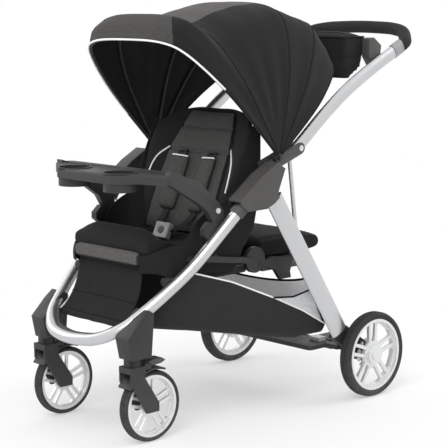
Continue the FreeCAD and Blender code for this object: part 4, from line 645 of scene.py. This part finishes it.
def hoodLine(angle, lift=0.0, ripple=0.0, start=0.0, end=1.0):
    radius, wide = between(hood["radii"], angle) + lift, between(hood["halves"], angle) + lift
    boxiness, band = between(hood["boxiness"], angle), between(hood["grey"], angle)
    fine, edge, lean = hood["columns"] * 4, hood["greyColumns"], math.radians(angle)
    line = [a.lerp(b, boxiness) for a, b in zip(hoodArc("domed", radius, wide, fine + 1),
                                                hoodArc("boxy", radius, wide, fine + 1))]
    found = []
    for index in range(hood["columns"] + 1):
        share = index / hood["columns"]
        if not start <= share <= end:
            continue
        out = abs(share - 0.5) * 2
        along = band * out / edge if out <= edge else band + (1 - band) * (out - edge) / (1 - edge)
        along = (0.5 + math.copysign(along, share - 0.5) / 2) * fine
        place = line[int(along)].lerp(line[min(int(along) + 1, fine)], along % 1)
        low = max(0, out - 0.45) / 0.55
        inward = ripple * math.sin(min(1, low * 1.25) * math.pi)
        far = place.y - ripple * 0.35 * (1 - low)
        found.append(spot(place.x - math.copysign(inward, place.x), hood["ahead"] + far * math.sin(lean),
                          hood["z"] + far * math.cos(lean)))
    return found


def hoodPanel(name, low, high, folds, top):
    count = max(8, round((high - low) / hood["step"]))
    rows = []
    for index in range(count + 1):
        share = index / count
        ripple = hood["fold"] * (0.5 - 0.5 * math.cos(2 * math.pi * folds * share))
        rows.append(hoodLine(low + (high - low) * share, ripple=ripple * math.sin(math.pi * share) ** 0.3))
    panel = skin(name, rows)
    grey = hood["greyColumns"] / 2 * hood["columns"]
    for polygon in panel.data.polygons:
        column = polygon.index % hood["columns"]
        polygon.material_index = int(abs(column + 0.5 - hood["columns"] / 2) < grey)
    panel.data.materials.append(finishes["blackCloth"])
    panel.data.materials.append(finishes[top])
    return thicken(panel, hood["cloth"])


def hoodTop(angle):
    return hoodLine(angle)[hood["columns"] // 2]


for name, low, high, folds, top, flat, area, bows in hood["panels"]:
    panel = hoodPanel("canopy" + name, hood[low], hood[high], folds, top)
    dress(panel, None, "frame" if name == "Rear" else None, ["canopy_" + name.lower()])
    if name != "Rear":
        hoodTop(hood[low])
        hoodTop(hood[high])
        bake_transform(panel)
for name, angle in (("Front", hood["front"] - 0.6), ("Top", hood["topBow"]), ("Middle", hood["midBow"]),
                    ("Rear", hood["backBow"])):
    welt("canopyBow" + name, [hoodLine(angle, hood["bowLift"])], hood["bow"], 2, "darkPlastic", hoodBodies[name])
for name, angle in (("Top", hood["topBow"]), ("Middle", hood["midBow"]), ("Rear", hood["backBow"])):
    welt("canopySeam" + name, [hoodLine(angle, 0.9)], 1.5, body=hoodBodies[name])
piping("canopyPiping", [hoodLine(hood["front"], 0.6, 0, *hood["piped"])], 2.7, "canopy_front")
welt("canopyEdge", [hoodLine(hood["front"], 0.2)], 2.3, body="canopy_front")
welt("canopyHem", [hoodLine(hood["rear"], 0.2)], 2.2)
for name, angle in (("Front", hood["front"] - 2.4), ("Top", hood["topBow"] - 1.1),
                    ("Middle", hood["midBow"] + 1.1), ("Rear", hood["rear"] + 2.2)):
    sewRow("canopyStitches" + name, [hoodLine(angle, 1.0)], hoodBodies[name], 5, 3.2, 0.9)
print("canopy made")

# Seat back: shell with padded wings, insert, shoulder pads

seat = {"ahead": 480, "z": 488, "lean": 24, "long": 364, "half": 192, "edge": 9, "wing": 42, "thick": 25,
        "behind": 14, "puff": 5,
        "rows": [(0, 0.78, 0.25), (0.165, 0.82, 0.5), (0.41, 0.94, 0.85), (0.66, 1, 1), (0.824, 0.98, 0.9),
                 (0.92, 0.81, 0.6), (0.975, 0.55, 0.3), (1, 0.31, 0.1)],
        "shares": [index / 34 for index in range(33)] + [0.962, 0.978, 0.99, 0.998],
        "insertHalf": 128, "insertThick": 14, "insertLift": 1.6,
        "insertRows": [(0.02, 0.98, 0.6), (0.06, 1, 1), (0.35, 0.97, 1), (0.61, 0.93, 1), (0.635, 0.92, 0.9),
                       (0.66, 0.92, 1), (0.80, 0.81, 1), (0.825, 0.79, 0.9), (0.85, 0.77, 1), (0.92, 0.70, 0.9),
                       (0.955, 0.66, 0.5)],
        "insertShares": [0.02, 0.024, 0.034] + [0.05 + 0.0123 * index for index in range(73)] + [0.951, 0.955],
        "seams": [0.635, 0.825], "groove": 7.5,
        "piping": [(0.67, 115), (0.63, 129), (0.57, 147), (0.51, 155), (0.45, 159), (0.38, 160), (0.33, 159)]}


def backSpot(x, up, out):
    lean = math.radians(seat["lean"])
    return spot(x, seat["ahead"] - up * math.sin(lean) + out * math.cos(lean),
                seat["z"] + up * math.cos(lean) + out * math.sin(lean))


def backRow(share):
    half, wing = between(seat["rows"], held(share, 0, 1))
    return half * seat["half"], wing * seat["wing"]


def backFront(x, share):                        # how far the shell's front stands ahead of the back's plane
    half, wing = backRow(share)
    half -= seat["edge"]
    radius = (half * half + wing * wing) / (2 * wing)
    return radius - math.sqrt(max(radius * radius - min(abs(x), half) ** 2, 0))


def insertRow(share):                           # the insert's half width and thickness
    rows = seat["insertRows"]
    half, thick = between(rows, held(share, rows[0][0], rows[-1][0]))
    return half * seat["insertHalf"], thick * seat["insertThick"]


def wingSwell(x, share, reach):
    inner = min(insertRow(share)[0], reach * 0.75)
    return math.sin(math.pi * held((x - inner) / (reach - inner), 0, 1)) * seat["puff"]


def shellRow(share):
    half, wing = backRow(share)
    reach = half - seat["edge"]
    up = share * seat["long"]
    thick = seat["thick"] * min(1, 0.4 + 4 * (1 - share))
    ring = []
    for index in range(29):
        x = reach * (index / 14 - 1)
        swell = wingSwell(abs(x), share, reach) * min(1, 6 * (1 - share))
        crease = 1.4 * noise.noise(Vector((x / 40, up / 55, 3)))
        ring.append(backSpot(x, up, backFront(x, share) - seat["behind"] + swell + crease))
    ring.append(backSpot(half - 2.5, up, wing - seat["behind"] - 1.5))
    ring.append(backSpot(half, up, wing - seat["behind"] - seat["edge"]))
    for index in range(19):
        x = half * (1 - index / 9) * 0.985
        level = 1 - (x / half) ** 2
        ring.append(backSpot(x, up, (wing - seat["edge"]) * (1 - level) - thick * level - seat["behind"]))
    ring.append(backSpot(-half, up, wing - seat["behind"] - seat["edge"]))
    ring.append(backSpot(2.5 - half, up, wing - seat["behind"] - 1.5))
    return ring


seatShell = skin("seatShell", [shellRow(share) for share in seat["shares"]], loop=True, caps=True)
finer = seatShell.modifiers.new("finer", "SUBSURF")
finer.levels = finer.render_levels = 1
dress(settle(seatShell), "blackCloth", "seat_back", ["seat_back_shell"])


def insertOut(x, share, extra=0.0):
    reach, thick = insertRow(share)
    edge = 1 - min(abs(x) / reach, 1) ** 8 * 0.6
    groove = sum(seat["groove"] * math.exp(-((share - seam) * seat["long"] / 3) ** 2) for seam in seat["seams"])
    quilt = 0.8 * noise.noise(Vector((x / 26, share * 12, 9)))
    rise = max(thick * edge - groove + quilt, 1.5) + extra
    return backFront(x, share) + seat["insertLift"] - seat["behind"] + rise


def insertFront(share, reach, steps, extra=0.0):
    return [backSpot(reach * (index / steps - 1), share * seat["long"],
                     insertOut(reach * (index / steps - 1), share, extra)) for index in range(2 * steps + 1)]


def insertRing(share):
    reach = insertRow(share)[0]
    back = [backSpot(x, share * seat["long"], backFront(x, share) + seat["insertLift"] - seat["behind"])
            for x in [reach * (1 - index / 6) for index in range(13)]]
    return insertFront(share, reach, 20) + back


seatInsert = skin("seatInsert", [insertRing(share) for share in seat["insertShares"]], loop=True, caps=True)
dress(seatInsert, "padCloth", "seat_back", ["seat_back_insert"])
insertEdges = [[backSpot(side * (insertRow(share)[0] - 0.4), share * seat["long"],
                         insertOut(insertRow(share)[0], share, 0.8)) for share in seat["insertShares"][2:-1]]
               for side in (-1, 1)]
welt("insertBinding", insertEdges, 1.5, body="seat_back")
seamShares = [seam + shift for seam in seat["seams"] for shift in (-0.016, 0.016)]
sewRow("insertStitches", [insertFront(share, insertRow(share)[0] * 0.96, 24, 0.25) for share in seamShares],
       "seat_back")


def wingLine(side, lift, outward=0):
    line = []
    for share, x in seat["piping"]:
        x += outward
        swell = wingSwell(x, share, backRow(share)[0] - seat["edge"])
        line.append(backSpot(side * x, share * seat["long"], backFront(x, share) - seat["behind"] + swell + lift))
    return spaced(softened(line), 40)


piping("wingPiping", [wingLine(side, 1.2) for side in (-1, 1)], 2.3, "seat_back")
sewRow("wingStitches", [wingLine(side, 0.7, 7) for side in (-1, 1)], "seat_back")

pad = {"x": 56, "half": 28, "top": 211, "long": 150, "thick": 15, "lift": 2, "rows": 24, "columns": 32,
       "share": 0.58, "seamIn": 8, "seamOut": 0.8, "level": 0.97}


def padRing(side, share):
    up = pad["top"] - pad["long"] * (1 - share)
    near = min(share, 1 - share)
    ring = []
    for step in range(pad["columns"]):
        swing = 2 * math.pi * step / pad["columns"]
        x = side * pad["x"] + pad["half"] * min(1, 0.85 + 1.4 * near) * squared(math.cos(swing), 0.45)
        rise = squared(math.sin(swing), 0.6) * 0.5 + 0.5
        out = backFront(x, up / seat["long"]) + pad["lift"] + rise * pad["thick"] * min(1, 0.55 + 9 * near)
        ring.append(backSpot(x, up, out))
    return ring


for side, name in bothSides:
    made = skin("shoulderPad" + name, [padRing(side, index / pad["rows"]) for index in range(pad["rows"] + 1)],
                loop=True, caps=True)
    plump(made, 3, 1.6, 10)
    dress(made, "padCloth", "seat_back", ["shoulder_pads"])
    top = []
    for index in range(17):
        off = pad["half"] * 0.96 * (index / 8 - 1)
        x = side * pad["x"] + off
        top.append(backSpot(x, pad["top"] - 0.5, backFront(x, pad["share"]) + pad["lift"]
                            + pad["thick"] * pad["level"] - 3.2 * (abs(off) / pad["half"]) ** 4))
    piping("padPiping" + name, [top], 2.2, "seat_back")
    for edge in (-1, 1):
        seam = []
        for index in range(21):
            up = pad["top"] - pad["seamIn"] - (pad["long"] - 2 * pad["seamIn"]) * index / 20
            x = side * pad["x"] + edge * pad["half"] * pad["seamOut"]
            out = backFront(x, up / seat["long"]) + pad["lift"] + pad["thick"] * pad["level"]
            seam.append(backSpot(x, up, out))
        sewRow("padStitches" + name + ("In" if edge * side < 0 else "Out"), [seam], "seat_back")


def strapMesh(name, line, wide, thick):         # flat webbing through points, with rounded selvedges
    rows = []
    for index, place in enumerate(line):
        run = (line[min(index + 1, len(line) - 1)] - line[max(index - 1, 0)]).normalized()
        lift = Vector((1, 0, 0)).cross(run).normalized()
        ring = []
        for step in range(20):
            swing = 2 * math.pi * step / 20
            x = wide / 2 * squared(math.cos(swing), 0.35) / 1000
            ring.append(place + Vector((x, 0, 0)) + lift * (thick / 2 * squared(math.sin(swing), 0.7) / 1000))
        rows.append(ring)
    return skin(name, rows, loop=True, caps=True)


harness = {"x": 58, "loop": [(231, 1), (229, 7), (219, 13), (208, 14), (200, 11)],
           "loopWide": 25, "loopThick": 2.4,
           "glide": [(-17, 214), (17, 214), (17, 228), (-17, 228), (-17, 214)], "glideOut": 14.5,
           "ends": [(56, 462.8, 545), (51.3, 481.8, 525.8), (45, 507, 508.2), (40.4, 526, 501)],
           "wide": 24, "thick": 3}
for side, name in bothSides:
    x = side * harness["x"]
    line = spaced(softened([backSpot(x, up, out) for up, out in harness["loop"]]), 20)
    dress(strapMesh("harnessLoop" + name, line, harness["loopWide"], harness["loopThick"]), "webbing", "seat_back")
    glide = [backSpot(x + a, up, harness["glideOut"]) for a, up in harness["glide"]]
    welt("harnessGlide" + name, [spaced(softened(glide, 2, True), 40)], 2, 2, "darkPlastic", "seat_back")
    line = spaced(softened([spot(side * x, ahead, z) for x, ahead, z in harness["ends"]]), 24)
    strap = dress(strapMesh("harnessStrap" + name, line, harness["wide"], harness["thick"]), "webbing", None)
    if side == 1:
        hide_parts("harness_straps")
    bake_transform(strap)
print("seat back made")

# Seat pan, leg rest and bench: crowned cushions, with the cloth beside and below the seat

cushionSwell = [(-1, 0.7), (-0.985, 0.82), (-0.95, 0.92), (-0.85, 0.975), (-0.4, 1), (0.4, 1), (0.85, 0.975),
                (0.95, 0.92), (0.985, 0.82), (1, 0.7)]
pan = {"half": 150, "back": 482, "long": 230, "low": 458, "high": 76, "droop": 0.55,
       "profile": [(0.02, 0), (0, 0.38), (0.12, 0.18), (0.50, 0.18), (0.68, 0.52), (0.78, 0.9), (0.86, 1),
                   (0.96, 0.75), (1, 0.42), (1, 0.05), (0.9, 0), (0.5, 0)]}
calf = {"half": 124, "back": 712.3, "long": 14, "low": 438, "high": 38, "droop": 0, "rim": 7,
        "profile": [(0, 0), (0, 0.5), (0, 1), (0.6, 1), (1, 0.8), (1, 0.5), (1, 0.2), (0.6, 0)]}
bench = {"half": 172, "back": 92, "long": 246, "low": 415, "high": 56, "droop": 0,
         "profile": [(0.04, 0.02), (0, 0.5), (0.06, 0.95), (0.5, 1), (0.95, 0.97), (1, 0.5), (0.97, 0), (0.5, 0)]}


def cushion(name, shape, stations=44, count=72):
    rows = []
    for index in range(stations + 1):
        across = math.sin((index / stations - 0.5) * math.pi)
        swell = between(cushionSwell, across)
        droop = 1 - shape["droop"] * held((abs(across) - 0.55) / 0.4, 0, 1) ** 2
        row = []
        for place in softLoop([Vector((0, share, up)) for share, up in shape["profile"]], count):
            ahead = shape["back"] + shape["long"] * (0.5 + (place.y - 0.5) * (0.9 + 0.1 * swell))
            z = shape["low"] + shape["high"] * (0.5 + (place.z - 0.5) * swell * (droop if place.z > 0.5 else 1))
            row.append(spot(shape["half"] * across, ahead, z))
        rows.append(row)
    return skin(name, rows, loop=True, caps=True)


seatPan = cushion("seatPan", pan)
plump(seatPan, 3, 3)
dress(seatPan, "blackCloth", "frame", ["seat_pan"])
legRest = cushion("legRest", calf)
legRest.data.materials.append(finishes["greyCloth"])
legRest.data.materials.append(finishes["blackCloth"])
for polygon in legRest.data.polygons:
    polygon.material_index = int(polygon.center.z * 1000 < calf["low"] + calf["rim"])
dress(legRest, None, "leg_rest", ["leg_rest"])
benchPad = cushion("benchPad", bench)
plump(benchPad, 3, 3)
dress(benchPad, "blackCloth", "bench", ["bench_cushion"])

flank = {"stations": 68, "points": 34, "from": 352, "to": 722, "thick": 2.2, "belly": 5, "bellyFrom": 560,
         "fold": 2.4,
         "top": [(352, 762), (372, 786), (388, 772), (402, 738), (425, 688), (443, 640), (455, 610), (490, 582),
                 (540, 563), (566, 546), (590, 508), (612, 490), (660, 483), (700, 474), (722, 466)],
         "low": [(352, 600), (385, 500), (412, 466), (430, 425), (450, 404), (600, 403), (660, 412), (700, 424),
                 (722, 424)],
         "topOut": [(352, 194), (450, 192), (500, 183), (560, 177), (600, 168), (640, 158), (702, 152),
                    (722, 126)],
         "lowOut": [(352, 194), (450, 190), (560, 188), (600, 186), (660, 180), (700, 164), (722, 127)]}


def straight(table, key):                       # a value between rows of (key, value), without easing
    return between([(a, b, 0) for a, b in table], key)[0]


def flankSpot(sign, along, share):              # on the cloth beside the seat, from the back and from its top
    ahead = flank["from"] + (flank["to"] - flank["from"]) * along
    high, low = straight(flank["top"], ahead), between(flank["low"], ahead)
    upper, lower = between(flank["topOut"], ahead), between(flank["lowOut"], ahead)
    z = high + (low - high) * share
    bulge = flank["belly"] * math.sin(math.pi * share) * (ahead > flank["bellyFrom"])
    fold = flank["fold"] * noise.noise(Vector((ahead / 38, z / 90, 5))) * math.sin(math.pi * share)
    return spot(sign * (upper + (lower - upper) * share ** 0.7 + bulge + min(fold, 0)), ahead, z)


for sign, name in bothSides:
    rows = gridRows(flank["stations"], flank["points"], lambda along, share: flankSpot(sign, along, share))
    cloth = dress(thicken(skin("sideCloth" + name, rows), flank["thick"]), "blackCloth", None)
    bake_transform(cloth)

bight = {"half": 146, "ahead": 477, "z": 478, "radius": 11, "stations": 40, "points": 24}
rows = []
for index in range(bight["stations"] + 1):
    across = math.sin((index / bight["stations"] - 0.5) * math.pi)
    radius = bight["radius"] * (1 - 0.75 * abs(across) ** 12)
    swings = [2 * math.pi * step / bight["points"] for step in range(bight["points"])]
    rows.append([spot(bight["half"] * across, bight["ahead"] + radius * math.cos(swing),
                      bight["z"] + radius * math.sin(swing)) for swing in swings])
bightRoll = dress(skin("seatBight", rows, loop=True, caps=True), "blackCloth", "frame")

apron = {"line": [(703, 442), (712, 400), (722, 362), (744, 326), (764, 301)], "seamRow": 19, "crease": 1.6,
         "half": [(0, 128), (0.6, 130), (1, 134)], "sag": 5, "rows": 30, "columns": 40, "thick": 2.2}
drop = spaced(softened([Vector((0, ahead, z)) for ahead, z in apron["line"]]), apron["rows"] + 1)


def apronSpot(share, along):
    place, across = drop[round(share * apron["rows"])], along * 2 - 1
    slack = apron["sag"] * math.sin(math.pi * share) * (1 - across * across)
    crease = apron["crease"] * noise.noise(Vector((across * 4, share * 3, 2)))
    return spot(between(apron["half"], share) * across, place.y - slack + crease, place.z)


apronRows = gridRows(apron["rows"], apron["columns"], apronSpot)
apronCloth = dress(thicken(skin("frontApron", apronRows), apron["thick"]), "blackCloth", "frame")
welt("apronSeam", [[place + Vector((0, -0.0016, 0)) for place in apronRows[apron["seamRow"]]]], 1.3)
print("cushions made")

# Basket: a cloth tub with a pale welt on its top edge, and net walls behind it

basket = {"back": 142, "front": 770, "half": 236, "low": 184, "high": 236, "cloth": 2.2, "inset": 1.2,
          "foot": 0.08, "stations": 48, "points": 61, "fold": 1.5,
          "rows": [(0, 1, 0.02, 0.16), (0.13, 0.985, 0, 0.36), (0.29, 0.96, 0.08, 0.56),
                   (0.53, 0.91, 0.22, 0.83), (0.74, 0.84, 0.33, 1), (0.85, 0.75, 0.38, 0.74),
                   (0.93, 0.63, 0.42, 0.605), (1, 0.58, 0.44, 0.50)]}


def basketRow(share):                           # under the tub from one top edge to the other
    wide, low, high = between(basket["rows"], share)
    half = basket["half"] * wide - basket["inset"]
    foot = half - basket["half"] * basket["foot"]
    bottom = basket["low"] + basket["high"] * low + basket["inset"]
    top = basket["low"] + basket["high"] * high
    right = [(half, top), (half - 4, bottom * 0.4 + top * 0.6), (foot, bottom), (foot * 0.6, bottom)]
    line = [Vector((-x, 0, z)) for x, z in right] + [Vector((x, 0, z)) for x, z in reversed(right)]
    ahead = basket["back"] + (basket["front"] - basket["back"]) * share
    row = []
    for step, place in enumerate(spaced(softened(line), basket["points"])):
        fold = basket["fold"] * noise.noise(Vector((ahead / 60, step / 7, 1)))
        row.append(spot(place.x - math.copysign(abs(fold), place.x) * (abs(place.x) > 60), ahead,
                        place.z + (fold if abs(place.x) < 180 else 0)))
    return row


basketRows = [basketRow(index / basket["stations"]) for index in range(basket["stations"] + 1)]
tub = skin("basketTub", basketRows)
last = basket["stations"] * basket["points"]
closed(tub, range(basket["points"]), range(last + basket["points"] - 1, last - 1, -1))
dress(thicken(tub, basket["cloth"]), "basketCloth", "frame", ["basket"])
piping("basketPiping", [[row[0] for row in basketRows], [row[-1] for row in basketRows]], 2.4, "frame")

net = {"back": 148, "low": 226.5, "long": 62, "high": 132, "half": 232, "sag": 30, "rows": 16, "columns": 60}


def netSpot(share, along):
    across = along * 2 - 1
    top = 1 - net["sag"] / net["high"] * (1 - across * across) ** 0.8
    return spot(net["half"] * across, net["back"] + net["long"] * share * top,
                net["low"] + net["high"] * share * top)


netRows = gridRows(net["rows"], net["columns"], netSpot)
rearNet = dress(thicken(skin("rearNet", netRows), 1.0), "netCloth", "frame", ["basket_mesh"])
welt("netBinding", [netRows[-1], [row[0] for row in netRows], [row[-1] for row in netRows]], 3.2)
sideNet = {"x": 234, "inward": 7, "low": [(0, 142, 223), (0.45, 224, 270), (1, 330, 318)],
           "high": [(0, 194, 325), (0.5, 262, 313), (1, 334, 320)], "columns": 24, "rows": 12}


def sideNetSpot(sign, rise, share):
    (a, b), (c, d) = between(sideNet["low"], share), between(sideNet["high"], share)
    return spot(sign * (sideNet["x"] - sideNet["inward"] * share), a + (c - a) * rise, b + (d - b) * rise)


for sign, name in bothSides:
    rows = gridRows(sideNet["rows"], sideNet["columns"], lambda rise, share: sideNetSpot(sign, rise, share))
    thing = dress(thicken(skin("sideNet" + name, rows), 0.8), "netCloth", "frame")
    welt("sideNetBinding" + name, [rows[-1], [row[0] for row in rows]], 2.6)
print("basket made")

# Moulded pieces: copies of their solids with rolled edges, as (body, finish, radius)

moulded = {"hub_casings": ("frame", "greyPlastic", 5), "tray": ("tray", "trayPlastic", 4),
           "caster_brackets": ("frame", "darkPlastic", 5), "caster_fork_left": ("caster_left", "darkPlastic", 2.5),
           "caster_fork_right": ("caster_right", "darkPlastic", 2.5), "tray_mounts": ("frame", "darkPlastic", 3),
           "handle_brackets": ("frame", "greyPlastic", 2.5), "platform": ("rear_legs", "darkPlastic", 3),
           "axle_housings": ("rear_legs", "darkPlastic", 3), "bench_brackets": ("frame", "darkPlastic", 2),
           "organiser_brackets": ("handle", "greyPlastic", 2), "bench_base": ("bench", "greyPlastic", 3),
           "lock_lever_left": ("lock_lever_left", "greyPlastic", 1.5), "buckle": ("frame", "palePlastic", 3),
           "lock_lever_right": ("lock_lever_right", "greyPlastic", 1.5)}
rolled = {"merge": 0.00001, "flat": 1.5, "sharp": 28, "segments": 3, "level": 0.0004, "sunk": 0.0006}


def rimLines(edit):                             # closed edges of the largest flat top and the faces level with it
    tops = [(face, face.calc_center_median().z) for face in edit.faces if face.normal.z > 0.99]
    level = max(tops, key=lambda top: top[0].calc_area())[1]
    lids = {face for face, z in tops if abs(z - level) < rolled["level"]}
    left = [edge for edge in edit.edges if sum(face in lids for face in edge.link_faces) == 1]
    lines = []
    while left:
        following = left.pop()
        line = [following.verts[0], following.verts[1]]
        while following:
            following = next((other for other in left if line[-1] in other.verts), None)
            if following:
                left.remove(following)
                line.append(following.other_vert(line[-1]))
        loop = softened([vert.co - Vector((0, 0, rolled["sunk"])) for vert in line[:-1]], 2, True)
        lines.append(loop + loop[:1])
    return lines


for node, (body, finish, width) in moulded.items():
    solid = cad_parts[node]
    edit = bmesh.new()
    edit.from_mesh(solid.data)
    edit.transform(solid.matrix_world)
    bmesh.ops.remove_doubles(edit, verts=edit.verts, dist=rolled["merge"])
    bmesh.ops.dissolve_limit(edit, angle_limit=math.radians(rolled["flat"]), verts=edit.verts, edges=edit.edges)
    bmesh.ops.recalc_face_normals(edit, faces=edit.faces)
    for face in edit.faces:
        face.smooth = True
    weight = edit.edges.layers.float.new("bevel_weight_edge")
    for edge in edit.edges:                     # only outer corners, so a recess keeps its room
        edge[weight] = edge.is_convex and edge.calc_face_angle(0) > math.radians(rolled["sharp"])
    if node == "tray":
        trayRim = rimLines(edit)
    mesh = bpy.data.meshes.new("soft_" + node)
    edit.to_mesh(mesh)
    edit.free()
    thing = placed("soft_" + node, mesh)
    bevel = thing.modifiers.new("rolledEdge", "BEVEL")
    bevel.width, bevel.segments, bevel.limit_method = width / 1000, rolled["segments"], "WEIGHT"
    bevel.use_clamp_overlap, bevel.harden_normals = True, True
    dress(settle(thing), finish, body, [node])
welt("trayRim", trayRim, 1.7, 3, "trayPlastic", "tray")
print("moulded pieces made")

# Parent organiser: a bag with a zipped lid

bag = {"half": 184, "back": -72, "front": 16, "low": 888, "high": 1008, "wall": 3, "points": 88,
       "rear": [(0, 0.773), (0.283, 0.16), (0.49, 0.114), (0.967, 0)], "fore": [(0, 0.955), (1, 1)],
       "shares": (0.02, 0.05, 0.12, 0.2, 0.283, 0.35, 0.42, 0.485, 0.5, 0.515, 0.6, 0.7, 0.8, 0.88, 0.94, 0.96),
       "creaseRow": 8, "crease": 0.012}


def bagLoop(share):
    deep, half = bag["front"] - bag["back"], bag["half"]
    rear, fore = [bag["back"] + deep * straight(bag[key], share) for key in ("rear", "fore")]
    z = bag["low"] + (bag["high"] - bag["low"]) * share
    ends = ((-half, rear), (0, rear), (half, rear), (half, fore), (0, fore), (-half, fore))
    corners = [Vector((x, ahead, z)) for x, ahead in ends]
    dense = [place for a, b in zip(corners, corners[1:] + corners[:1])
             for place in (a, a.lerp(b, 0.06), a.lerp(b, 0.94))]
    return [spot(*place) for place in softLoop(dense, bag["points"])]


bagRows = [bagLoop(share) for share in bag["shares"]]
creaseRow = bagRows[bag["creaseRow"]]
for index, place in enumerate(creaseRow):
    creaseRow[index] = place.lerp(sum(creaseRow, Vector()) / len(creaseRow), bag["crease"])
bagSkin = skin("organiserBag", bagRows, loop=True)
closed(bagSkin, range(bag["points"]))
dress(thicken(bagSkin, bag["wall"], -1), "blackCloth", "handle", ["organiser"])
welt("organiserRim", [bagRows[-1] + bagRows[-1][:1]], 2.6, body="handle")
lid = {"low": 1002.5, "rise": 15, "half": 180, "back": -68, "long": 81, "rows": 20, "columns": 48, "thick": 2.2,
       "zipRow": 15, "crease": 1.2}


def lidSpot(share, along):
    across = along * 2 - 1
    crown = (math.sin(math.pi * share) * (1 - across ** 8)) ** 0.6 if 0 < share < 1 and abs(across) < 1 else 0
    crease = lid["crease"] * noise.noise(Vector((across * 7, share * 2, 8))) * crown
    return spot(lid["half"] * across, lid["back"] + lid["long"] * share, lid["low"] + lid["rise"] * crown + crease)


lidRows = gridRows(lid["rows"], lid["columns"], lidSpot)
lidCloth = dress(thicken(skin("organiserLid", lidRows), lid["thick"]), "blackCloth", "handle")
zipLine = [place + Vector((0, 0, 0.0016)) for place in lidRows[lid["zipRow"]][2:-2]]
welt("organiserZip", [zipLine], 1.4, body="handle")
print("organiser made")

# Ribs on the standing platform and a rivet on each side of the front tube

ribs = {"count": 13, "from": -114, "step": 19, "ahead": 117, "z": 152, "size": (5, 72, 2.4)}
made = runTree(seedMesh("platformRibs"), ridgeRow, "darkPlastic",
               {"Count": ribs["count"], "Start": spot(ribs["from"], ribs["ahead"], ribs["z"]),
                "Step": Vector((ribs["step"], 0, 0)) / 1000, "Size": Vector(ribs["size"]) / 1000})
dress(made, "darkPlastic", "rear_legs")
rivet = {"x": 235.1, "ahead": 602.8, "z": 455.6, "facing": (0.923, -0.377, 0.07), "radius": 3.2, "rise": 1.4}
for sign, name in bothSides:
    x, y, z = rivet["facing"]
    made = runTree(seedMesh("tubeRivet" + name, spot(sign * rivet["x"], rivet["ahead"], rivet["z"])), screwSet,
                   "brightSteel", {"Radius": rivet["radius"] / 1000, "Rise": rivet["rise"] / 1000,
                                   "Facing": Vector((x * sign, y, z))})
    dress(made, "brightSteel", "frame")
print("small details made")

# Wheels

tyres = {"rear": {"radius": 120, "wide": 36, "deep": 19, "round": 8.5, "blocks": 84, "at": (286, 0, 120)},
         "front": {"radius": 92, "wide": 27, "deep": 12, "round": 5.5, "blocks": 72, "at": (178.6, 732, 92)}}
blockFace = 4e-6                                # smaller faces are the tread's and stay flat
for kind, tyre in tyres.items():
    for side, name in bothSides:
        x, ahead, z = tyre["at"]
        sizes = {key: tyre[key.lower()] / 1000 for key in ("Radius", "Wide", "Deep", "Round")}
        thing = runTree(seedMesh(kind + "Tyre" + name), wheelTyre, "tyreRubber",
                        {**sizes, "Blocks": tyre["blocks"], "Centre": spot(side * x, ahead, z)})
        for face in thing.data.polygons:
            face.use_smooth = face.area > blockFace and len(face.vertices) == 4
        dress(thing, "tyreRubber", "%s_wheel_%s" % (kind, name.lower()), ["%s_tyre_%s" % (kind, name.lower())])
print("wheels made")
